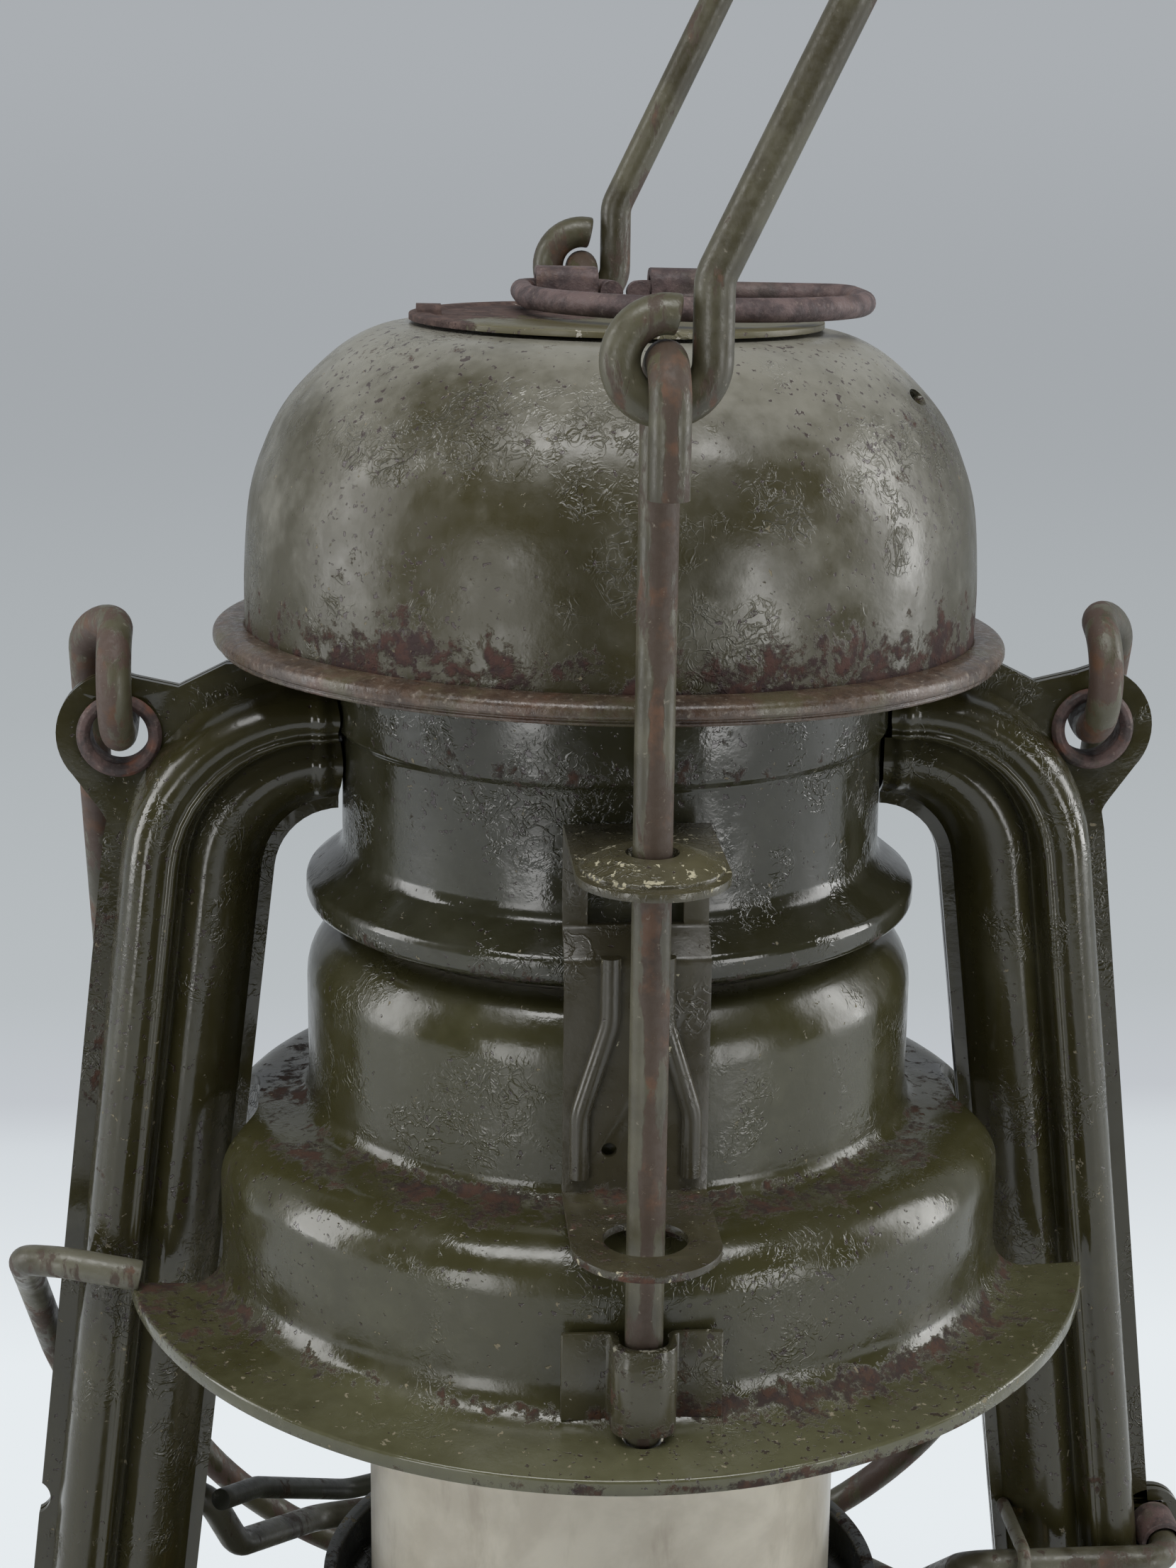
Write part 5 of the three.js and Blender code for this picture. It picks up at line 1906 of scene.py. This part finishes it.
    def strap(self, name: str, x: float, rust: Finish) -> None:
        """Bends one strap over the ring.

        Args:
            name: Which strap.
            x: X of its middle.
            rust: Its finish.
        """
        half = self.ring_wire + SEAT_GAP + self.strap_sheet
        foot = self.top_z + 2 * SEAT_GAP + SHEET + self.strap_sheet
        top = RING_Z + self.ring_wire + SEAT_GAP + self.strap_sheet
        back, front = RING_HINGE_Y + half, RING_HINGE_Y - half
        bend, arch = self.strap_bend, half * self.strap_arch
        line = thick([
            (back + self.strap_foot, foot), (back, foot, bend), (back, top, arch),
            (front, top, arch), (front, foot, bend), (front - self.strap_foot, foot)], self.strap_sheet)
        strap = extruded(f"ring_strap_{name}_band", line, self.strap_width, x)
        fitted(strap, Body.CANOPY, Slot.RUST, rust, f"ring_strap_{name}", edge=0.18)


# hood


@dataclass
class Hood(Maker):
    """Stepped blackout hood with its clips, rods and bail."""

    neck_radius: float = 21.6
    top_z: float = 125.6
    tier_radius: float = 25.6
    tier_shoulder: float = 6.0
    tier_drop: float = 3.4
    tier_inset: float = 2.0
    step_z: float = 109.0
    skirt_radius: float = 33.7
    skirt_shoulder: float = 6.6
    skirt_fillet: float = 3.4
    step_fillet: float = 1.5
    step_fall: float = 0.8
    notch_round: float = 5.0
    skirt_z: float = 95.6
    brim_radius: float = 41.3
    brim_z: float = 94.3
    brim_lift: float = 1.5
    notch_half: float = 7.9
    notch_x: float = 29.9
    rod_wire: float = 1.45
    rod_foot: float = 93.6
    rod_slot: float = 1.6
    slot_place: float = 36.0
    foot_radius: float = 2.6
    foot_depth: float = 0.9
    foot_overlap: float = 0.1
    foot_bends: Pair = (0.4, 0.1)
    hook_reach: float = 6.4
    hook_leg: float = 8.9
    hook_top: float = 176.3
    clip_width: float = 12.3
    clip_foot: float = 95.9
    clip_top: float = 103.0
    clip_channel: float = 1.85
    clip_bend: float = 0.4
    clip_arch: float = 0.95
    bail_wire: float = 1.42
    bail_eye: float = 3.15
    bail_height: float = 77.8
    bail_lean: float = math.radians(25.7)
    bail_stub: float = 5.5
    bail_eye_start: float = math.radians(75)
    bail_kink: float = 4.0
    bail_kink_reach: float = 8.8

    def build(self) -> None:
        """Builds and fits the hood's pieces."""
        olive = Enamel(
            "hood_enamel", gloss=0.19, deep=srgb(53, 51, 30), pale_and_sheen=srgb(80, 79, 58),
            rust_share=-0.015,
            rust_bands=(Band(self.step_z + 0.8, 1.6, 0.14), Band(self.skirt_z + 0.6, 1.8, 0.13),
                        Band(self.brim_z - 0.8, 1.2, 0.12)),
            # painted sheen: this band pales the brim's upward face
            sheen_bands=(Band(self.brim_z, 3.0, 0.3),),
            chip_bands=(Band(self.skirt_z - 0.6, 1.2, 0.05),),
            crackle_bands=(Band(106, 3, 0.07), Band(114, 3, 0.04)),
            crackle_height=0.03, wave_height=0.16).build()
        clip = Enamel(
            "clip_enamel", gloss=0.26, deep=srgb(58, 55, 38), pale_and_sheen=srgb(80, 77, 60),
            rust=srgb(74, 50, 36), rust_share=0.02, chip=srgb(150, 146, 130),
            rust_bands=(Band(-3.4, 1.4, 0.06, Axis.X), Band(3.4, 1.4, 0.06, Axis.X),
                        Band(self.clip_foot, 2.2, 0.09)),
            chip_bands=(Band(self.clip_top, 0.6, 0.1),)).build()
        self.shell(olive)
        rod = WornWire("rod_wire", worn_middle=0.0,
                       rust_bands=(Band(176, 7, 0.06), Band(140, 8, 0.07))).build()
        for face in Face:
            self.clip(face, clip)
            self.rod(face, rod)
        self.bail(WornWire("bail_wire", brown_share=0.35,
                           rust_bands=(Band(self.hook_top, 6, 0.05),)).build())

    def shell(self, olive: Finish) -> None:
        """Spins the stepped shell and cuts its notches and slots.

        Args:
            olive: The enamel.
        """
        section = thick([
            (self.brim_radius, self.brim_z - 2 * SHEET), (self.brim_radius, self.brim_z, SHEET / 2),
            (self.skirt_radius, self.skirt_z, self.skirt_fillet),
            (self.skirt_radius, self.step_z, self.skirt_shoulder),
            (self.tier_radius, self.step_z + self.step_fall, self.step_fillet),
            (self.tier_radius, self.top_z - self.tier_drop, self.tier_shoulder),
            (self.tier_radius - self.tier_inset, self.top_z - SHEET, self.tier_shoulder / 2),
            (self.neck_radius, self.top_z)])
        shell = turned("hood_shell_skin", section, FINE_STEPS)
        low, high = self.brim_z - OVERRUN, self.skirt_z + SEAT_GAP
        half, bend = self.notch_half, self.notch_round
        tools = []
        for side in Side:
            far = side.value * (self.brim_radius + OVERRUN)
            near = side.value * self.notch_x
            outline = rounded([(far, -half), (near, -half, bend), (near, half, bend), (far, half)])
            tools.append(stamped("notch", outline, low, self.step_z + OVERRUN))
        for face in Face:
            start, end = sorted((face.value * (self.skirt_radius - SHEET), face.value * self.slot_place))
            tools.append(box((-self.rod_slot, start, low), (self.rod_slot, end, high)))
            tools.append(drill(self.rod_slot, low, high,
                               Matrix.Translation((0, face.value * self.slot_place, 0))))
        shell = dented(combined(shell, "DIFFERENCE", tools), depth=0.12, size=12.0, seed=4.0)
        for vertex in shell.data.vertices:
            reach = math.hypot(vertex.co.x, vertex.co.y) / MM
            share = max(0.0, reach - self.skirt_radius) / (self.brim_radius - self.skirt_radius)
            if vertex.co.z < (self.skirt_z + SHEET) * MM:
                vertex.co.z += self.brim_lift * MM * share * (vertex.co.x / MM / self.brim_radius) ** 2
        fitted(shell, Body.HOOD, Slot.OLIVE, olive, "hood_shell", edge=0.12)

    def clip(self, face: Face, enamel: Finish) -> None:
        """Folds the clip that holds a rod to the skirt.

        Args:
            face: Front or back.
            enamel: Its finish.
        """
        name = f"{face.word}_clip"
        plane = self.skirt_radius + SEAT_GAP + SHEET
        out = self.clip_channel + SHEET
        top = ROD_PLACE + self.rod_wire + SEAT_GAP + SHEET
        half, bend, arch = self.clip_width / 2, self.clip_bend, out * self.clip_arch
        section = thick([
            (half, plane), (out, plane, bend), (out, top, arch), (-out, top, arch),
            (-out, plane, bend), (-half, plane)])
        rings = [[Vector((p.x, p.y, z)) for p in section] for z in (self.clip_foot, self.clip_top)]
        clip = place(lofted(f"{name}_fold", rings), face.spin)
        fitted(clip, Body.HOOD, Slot.RUST, enamel, name, edge=0.14)

    def rod(self, face: Face, finish: Finish) -> None:
        """Draws a rod with its hooked top.

        Args:
            face: Front or back.
            finish: Its finish.
        """
        name = f"{face.word}_rod"
        bend = self.hook_reach / 2
        y, out = face.value * ROD_PLACE, face.value * (ROD_PLACE + self.hook_reach)
        rod = self.wirework.draw(f"{name}_wire", [
            (0, y, self.rod_foot), (0, y, self.hook_top, bend), (0, out, self.hook_top, bend),
            (0, out, self.hook_top - self.hook_leg)], self.rod_wire, finish)
        fitted(rod, Body.HOOD, Slot.WIRE, finish, name, edge=WIRE_EDGE)
        top = self.rod_foot + self.foot_overlap
        low_bend, high_bend = self.foot_bends
        foot = turned(f"{name}_rivet", rounded([
            (0, top - self.foot_depth), (self.foot_radius, top - self.foot_depth, low_bend),
            (self.foot_radius, top, high_bend), (0, top)]), SMALL_STEPS)
        place(foot, Matrix.Translation((0, face.value * self.slot_place, 0)))
        fitted(foot, Body.HOOD, Slot.WIRE, finish, edge=0.0)

    def on_bail(self, y: float, reach: float) -> tuple[float, float, float]:
        """A point of the leaning bail, by its Y and its reach along the lean."""
        return (self.bail_eye + math.sin(self.bail_lean) * reach, y,
                self.hook_top + self.bail_stub + math.cos(self.bail_lean) * reach)

    def bail(self, finish: Finish) -> None:
        """Draws the hood's bail: an eye round each hook and a tall arch with a kink.

        Args:
            finish: Its finish.
        """
        eye_y = ROD_PLACE + self.hook_reach / 2
        eye = arc(0, self.hook_top, self.bail_eye, self.bail_eye_start, 2 * math.pi, 40)
        arch = []
        for spot in arc(0, self.bail_height - eye_y, eye_y, math.pi, 0, BOW_STEPS):
            wave = max(0.0, math.cos(QUARTER * spot.x / self.bail_kink_reach))
            near = 1.0 if abs(spot.x) < self.bail_kink_reach else 0.0
            arch.append(self.on_bail(spot.x, spot.y + self.bail_kink * wave * near))
        half_stub = self.bail_stub / 2
        corners = [(p.x, -eye_y, p.y) for p in eye]
        corners += [(*self.on_bail(-eye_y, 0), half_stub), *arch, (*self.on_bail(eye_y, 0), half_stub)]
        corners += [(p.x, eye_y, p.y) for p in reversed(eye)]
        bail = self.wirework.draw("hood_bail_wire", corners, self.bail_wire, finish)
        fitted(bail, Body.HOOD_HANDLE, Slot.WIRE, finish, "hood_bail", edge=WIRE_EDGE)


# carrying bail, globe and lever


@dataclass
class CarryBail(Maker):
    """Long bail that hangs in the ears and rests on the tank behind."""

    wire: float = 1.42
    eye: float = 4.6
    half_width: float = 43.6
    pivot_z: float = 145.9
    eye_start: float = math.radians(-50)
    eye_shift: float = math.radians(-250)
    rest: Pair = (48.283, 33.178)

    def build(self) -> None:
        """Builds and fits the bail."""
        finish = WornWire("carry_bail_wire", brown=srgb(70, 54, 46), brown_share=0.75,
                          rust_bands=(Band(146, 6, 0.05),)).build()
        y, z = self.rest
        distance = math.hypot(y, self.pivot_z - z)
        lean = math.atan2(y, self.pivot_z - z) - math.asin(self.eye / distance)
        reach = math.sqrt(distance ** 2 - self.eye ** 2)
        last = lean - 2 * math.pi
        coil = []
        for step, spot in enumerate(arc(0, 0, self.eye, self.eye_start, last, LOOP_STEPS)):
            angle = self.eye_start + (last - self.eye_start) * step / LOOP_STEPS
            share = min(max((angle - self.eye_shift) / (last - self.eye_shift), 0.0), 1.0)
            share = share * share * (3 - 2 * share)
            x = EAR_X + (self.half_width - EAR_X) * share
            coil.append((x, spot.x, spot.y + self.pivot_z))
        bow = []
        for spot in arc(0, reach - self.half_width, self.half_width, 0, math.pi, BOW_STEPS):
            bow.append((spot.x, self.eye * math.cos(lean) + math.sin(lean) * spot.y,
                        self.pivot_z + self.eye * math.sin(lean) - math.cos(lean) * spot.y))
        corners = coil + bow + [(-p[0], p[1], p[2]) for p in reversed(coil)]
        bail = self.wirework.draw("carry_bail_wire", corners, self.wire, finish)
        fitted(bail, Body.HANDLE, Slot.WIRE, finish, "carry_bail", edge=WIRE_EDGE)


@dataclass
class GlobeCarriage(Maker):
    """Frosted globe in its lifting cup, with the guard wire round it."""

    globe_radius: float = 20.6
    wall: float = 1.6
    polish: float = 0.7
    foot_z: float = 59.1
    top_z: float = 141.5
    cup_radius: float = 24.3
    rim_z: float = 63.5
    cup_hole: float = 15.2
    tab_width: float = 6.0
    tab_end: float = 33.4
    tab_step: float = 29.8
    tab_z: float = 55.6
    guard_wire: float = 1.0
    guard_line: tuple[Corner, ...] = (
        (-34.2, 4.0, 68.6), (-31.2, 9.4, 66.8, 3.0), (-22.95, 20.4, 60.2, 4.0),
        (0.0, 29.6, 60.6, 12.0), (20.0, 22.4, 60.6))

    def build(self) -> None:
        """Builds and fits the carriage's pieces."""
        self.globe(Frosting("frosted_globe").build())
        self.cup(Enamel("cup_enamel", gloss=0.3, deep=srgb(42, 43, 34),
                        chip_bands=(Band(self.rim_z, 0.8, 0.1),),
                        rust_bands=(Band(self.rim_z, 1.0, 0.08),)).build())
        wire = WornWire("guard_wire", paint=srgb(72, 74, 64), shadow=srgb(48, 48, 40),
                        brown_share=0.3).build()
        guard = self.wirework.draw("guard_wire_bow", self.guard_line, self.guard_wire, wire)
        fitted(guard, Body.CARRIAGE, Slot.WIRE, wire, "guard_wire", edge=0.1)

    def globe(self, glass: Finish) -> None:
        """Spins the globe, its edges fire-polished.

        Args:
            glass: Its finish.
        """
        outer, inner, bend = self.globe_radius, self.globe_radius - self.wall, self.polish
        section = rounded([
            (inner, self.foot_z + 1), (inner, self.foot_z, bend), (outer, self.foot_z, bend),
            (outer, self.top_z, bend), (inner, self.top_z, bend), (inner, self.top_z - 1)])
        fitted(turned("globe_glass", section), Body.CARRIAGE, Slot.GLASS, glass, "globe", edge=0.0)

    def cup(self, olive: Finish) -> None:
        """Spins the cup and welds the lifting tab on.

        Args:
            olive: The enamel.
        """
        plate = self.foot_z - SEAT_GAP
        cup = turned("globe_cup_skin", thick([
            (self.cup_radius + SHEET, self.rim_z), (self.cup_radius - SHEET, self.rim_z, SHEET),
            (self.cup_radius - SHEET, plate, 1.5 * BEND), (self.cup_hole, plate)]))
        tab = extruded("cup_tab", thick([
            (self.tab_end, self.tab_z), (self.tab_step, self.tab_z, BEND),
            (self.tab_step, plate, BEND), (self.cup_radius - 2 * SHEET, plate)]), self.tab_width)
        fitted(combined(cup, "UNION", [tab]), Body.CARRIAGE, Slot.OLIVE, olive, "globe_cup")


@dataclass
class GlobeLever(Maker):
    """Wire lever that lifts the globe, hooked over the left tube and turning on the right one."""

    wire: float = 1.3
    line: tuple[Corner, ...] = (
        (-39.6, -8.4, 96.5), (-46.0, -8.4, 97.9, 4.0), (-49.5, -6.6, 97.4, 2.4),
        (-49.8, 0.0, 92.6, 4.0), (-48.8, 8.3, 82.0, 4.0), (-43.1, 8.3, 68.5, 4.0),
        (-35.6, 9.3, 66.0, 4.0), (-33.2, 12.0, 59.5, 4.0), (-26.1, 26.1, 54.05, 4.0),
        (-6.0, 31.8, 53.4, 4.0), (6.0, 31.8, 53.4, 4.0), (22.3, 26.1, 50.4, 4.0),
        (31.0, 12.0, 52.4, 4.0), (31.8, -8.0, 66.8, 2.6), (50.4, -8.0, 66.8, 2.6),
        (50.4, 4.0, 66.8))
    sleeve_bore: float = 1.6
    sleeve_radius: float = 1.95
    sleeve_ends: Pair = (1.2, 5.4)
    keeper_wire: float = 0.6
    keeper_x: float = 36.54
    keeper_out: float = -10.2
    keeper_in: float = -1.2
    keeper_span: Pair = (61.5, 69.0)
    keeper_bend: float = 0.9

    def build(self) -> None:
        """Builds and fits the lever, its sleeve and its keeper."""
        wire = WornWire("lever_wire", paint=srgb(92, 90, 76), brown_share=0.55,
                        rust_bands=(Band(96, 4, 0.04),)).build()
        lever = self.wirework.draw("lift_lever_wire", self.line, self.wire, wire)
        fitted(lever, Body.LEVER, Slot.WIRE, wire, "lift_lever", edge=WIRE_EDGE)
        x, z = LEVER_PIVOT
        start, end = self.sleeve_ends
        section = rounded([(self.sleeve_bore, start), (self.sleeve_radius, start + 0.05, 0.1),
                           (self.sleeve_radius, end - 0.05, 0.1), (self.sleeve_bore, end)])
        sleeve = place(turned("lever_sleeve_tube", section, SMALL_STEPS),
                       Matrix.Translation((x, 0, z)) @ LYING)
        fitted(sleeve, Body.LEVER, Slot.RUST, Rust("sleeve_rust").build(), "lever_sleeve", edge=0.0)
        low, high = self.keeper_span
        x, near, far, bend = self.keeper_x, self.keeper_in, self.keeper_out, self.keeper_bend
        keeper = self.wirework.draw(
            "lever_keeper_wire", [(x, near, high), (x, far, high, bend), (x, far, low, bend), (x, near, low)],
            self.keeper_wire, wire, THIN_WIRE_SIDES)
        fitted(keeper, Body.FRAME, Slot.WIRE, wire, "lever_keeper", edge=0.08)


# studio


@dataclass(frozen=True)
class Softbox:
    """One soft lamp of the studio, in metres."""

    name: str
    place: tuple[float, float, float]
    aim: tuple[float, float, float]
    size: tuple[float, float]
    watts: float
    tint: tuple[float, float, float] = (1.0, 1.0, 1.0)

    def build(self) -> None:
        """Hangs the lamp."""
        lamp = bpy.data.lights.new(self.name, "AREA")
        lamp.shape = "RECTANGLE"
        lamp.size, lamp.size_y = self.size
        lamp.energy = self.watts
        lamp.color = self.tint
        obj = linked(self.name, lamp)
        obj.location = self.place
        way = Vector(self.aim) - Vector(self.place)
        obj.rotation_euler = way.to_track_quat("-Z", "Y").to_euler()


@dataclass
class Studio:
    """Pale floor, soft lamps and the camera at the photograph's angle; sizes in metres."""

    sweep_width: float = 8.0
    sweep_front: float = -0.4
    sweep_back: float = 1.4
    sweep_radius: float = 0.4
    sweep_top: float = 2.4
    paper: Colour = srgb(232, 236, 240)
    glow_start: float = 0.03
    glow_full: float = 0.12
    # greys of the paper's glow by depth, and of the rising backdrop: painted falloff of light, darker further
    # back
    depths: tuple[tuple[float, Colour], ...] = (
        (0.17, srgb(230, 235, 238)), (0.255, srgb(210, 215, 219)), (0.278, srgb(194, 198, 203)),
        (0.34, srgb(184, 189, 192)), (0.6, srgb(173, 178, 181)), (1.3, srgb(161, 165, 169)))
    high_grey: Colour = srgb(170, 174, 178)
    world_tint: Colour = (0.93, 0.965, 1.0, 1.0)
    world_level: float = 0.06
    aim: tuple[float, float, float] = (0.0, 0.0, 0.1365)
    back: tuple[float, float, float] = (-0.0842, -0.9622, 0.2588)
    distance: float = 0.237
    lens: float = 64.8
    roll: float = math.radians(0.8)
    pan: float = math.radians(0.453)
    lamps: tuple[Softbox, ...] = (
        Softbox("top_softbox", (-0.02, -0.34, 0.86), (0.0, 0.0, 0.1), (0.9, 0.3), 6.6),
        Softbox("left_softbox", (-0.75, 0.02, 0.3), (0.0, 0.0, 0.12), (0.26, 0.6), 2.8),
        Softbox("right_softbox", (0.75, 0.06, 0.3), (0.0, 0.0, 0.12), (0.26, 0.6), 3.2),
        Softbox("left_low", (-0.5, -0.62, 0.1), (0.0, 0.0, 0.12), (0.24, 0.4), 1.5),
        Softbox("right_low", (0.54, -0.6, 0.1), (0.0, 0.0, 0.12), (0.24, 0.4), 1.7),
    )

    def build(self) -> None:
        """Builds the floor, the world, the lamps and the camera."""
        self.floor()
        self.air()
        for lamp in self.lamps:
            lamp.build()
        self.camera()
        bpy.context.scene.view_settings.view_transform = "Standard"
        LOG.info("studio with %d lamps", len(self.lamps))

    def air(self) -> None:
        """Fills the room with faint light, and shows pale grey past the paper's edge."""
        world = bpy.data.worlds.new("studio_air")
        world.use_nodes = True
        tree = world.node_tree
        light = tree.nodes["Background"]
        light.inputs["Color"].default_value = self.world_tint
        light.inputs["Strength"].default_value = self.world_level
        seen = tree.nodes.new("ShaderNodeBackground")
        seen.inputs["Color"].default_value = self.high_grey
        rays = tree.nodes.new("ShaderNodeLightPath")
        both = tree.nodes.new("ShaderNodeMixShader")
        tree.links.new(rays.outputs["Is Camera Ray"], both.inputs[0])
        tree.links.new(light.outputs[0], both.inputs[1])
        tree.links.new(seen.outputs[0], both.inputs[2])
        tree.links.new(both.outputs[0], tree.nodes["World Output"].inputs["Surface"])
        bpy.context.scene.world = world

    def floor(self) -> None:
        """Hangs the paper sweep: white floor near the object, and behind it paper that glows in greys painted
        darker with depth, as painted falloff of the lamps' light.
        """
        radius = self.sweep_radius / MM
        sweep = extruded("studio_sweep", thick([
            (self.sweep_back / MM, self.sweep_top / MM), (self.sweep_back / MM, 0, radius),
            (self.sweep_front / MM, 0)], 10.0), self.sweep_width / MM)
        s = Shader("studio_paper")
        depth = s.axes.outputs[1]
        tone = s.add("ShaderNodeValToRGB", {0: s.math("MULTIPLY", depth, 1 / self.sweep_back)})
        self.stops(tone.color_ramp)
        rise = s.ramp(s.axes.outputs[2], 0.0, self.sweep_radius / 2)
        far = s.mix(rise, tone.outputs[0], self.high_grey)
        s.dress(Base_Color=self.paper, Roughness=0.9, Specular_IOR_Level=0.1)
        rays = s.add("ShaderNodeLightPath", {})
        seen = s.math("MAXIMUM", rays.outputs["Is Camera Ray"], s.math(
            "MAXIMUM", rays.outputs["Is Glossy Ray"], rays.outputs["Is Transmission Ray"]))
        share = s.math("MULTIPLY", seen, s.ramp(depth, self.glow_start, self.glow_full))
        glow = s.add("ShaderNodeEmission", {"Color": far, "Strength": 1.0})
        both = s.add("ShaderNodeMixShader", {0: share, 1: s.surface.outputs[0], 2: glow.outputs[0]})
        s.feed(s.tree.nodes["Material Output"], {"Surface": both.outputs[0]})
        sweep.data.materials.append(s.material)
        sweep.data.polygons.foreach_set("use_smooth", [True] * len(sweep.data.polygons))
        sweep.data.set_sharp_from_angle(angle=CREASE_ANGLE)

    def stops(self, ramp: bpy.types.ColorRamp) -> None:
        """Sets the greys of the paper's glow along its depth, darker further back as painted falloff of
        light.

        Args:
            ramp: The ramp to set.
        """
        for index, (depth, tone) in enumerate(self.depths):
            spot = depth / self.sweep_back
            stop = ramp.elements[index] if index < 2 else ramp.elements.new(spot)
            stop.position = spot
            stop.color = tone

    def camera(self) -> None:
        """Sets the camera where the photograph was taken from."""
        lens = bpy.data.cameras.new("photo_camera")
        lens.lens = self.lens
        lens.sensor_width = 36.0
        lens.clip_start = 0.01
        lens.clip_end = 40.0
        camera = linked("photo_camera", lens)
        back = Vector(self.back).normalized()
        right = Vector((0, 0, 1)).cross(back).normalized()
        up = back.cross(right)
        aimed = Matrix((right, up, back)).transposed().to_4x4()
        turned_by = Matrix.Rotation(self.pan, 4, "Y") @ Matrix.Rotation(self.roll, 4, "Z")
        camera.matrix_world = (Matrix.Translation(Vector(self.aim) + back * self.distance)
                               @ aimed @ turned_by)
        bpy.context.scene.camera = camera


def main() -> None:
    """Builds the lantern's looks and the studio round it."""
    logging.basicConfig(level=logging.INFO, format="%(name)s: %(message)s")
    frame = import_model()
    wirework = Wirework()
    for maker in (Tank, Burner, AirTubes, Throat, Canopy, Hood, CarryBail, GlobeCarriage, GlobeLever):
        maker(frame, wirework).build()
    Studio().build()


if __name__ == "__main__":
    main()
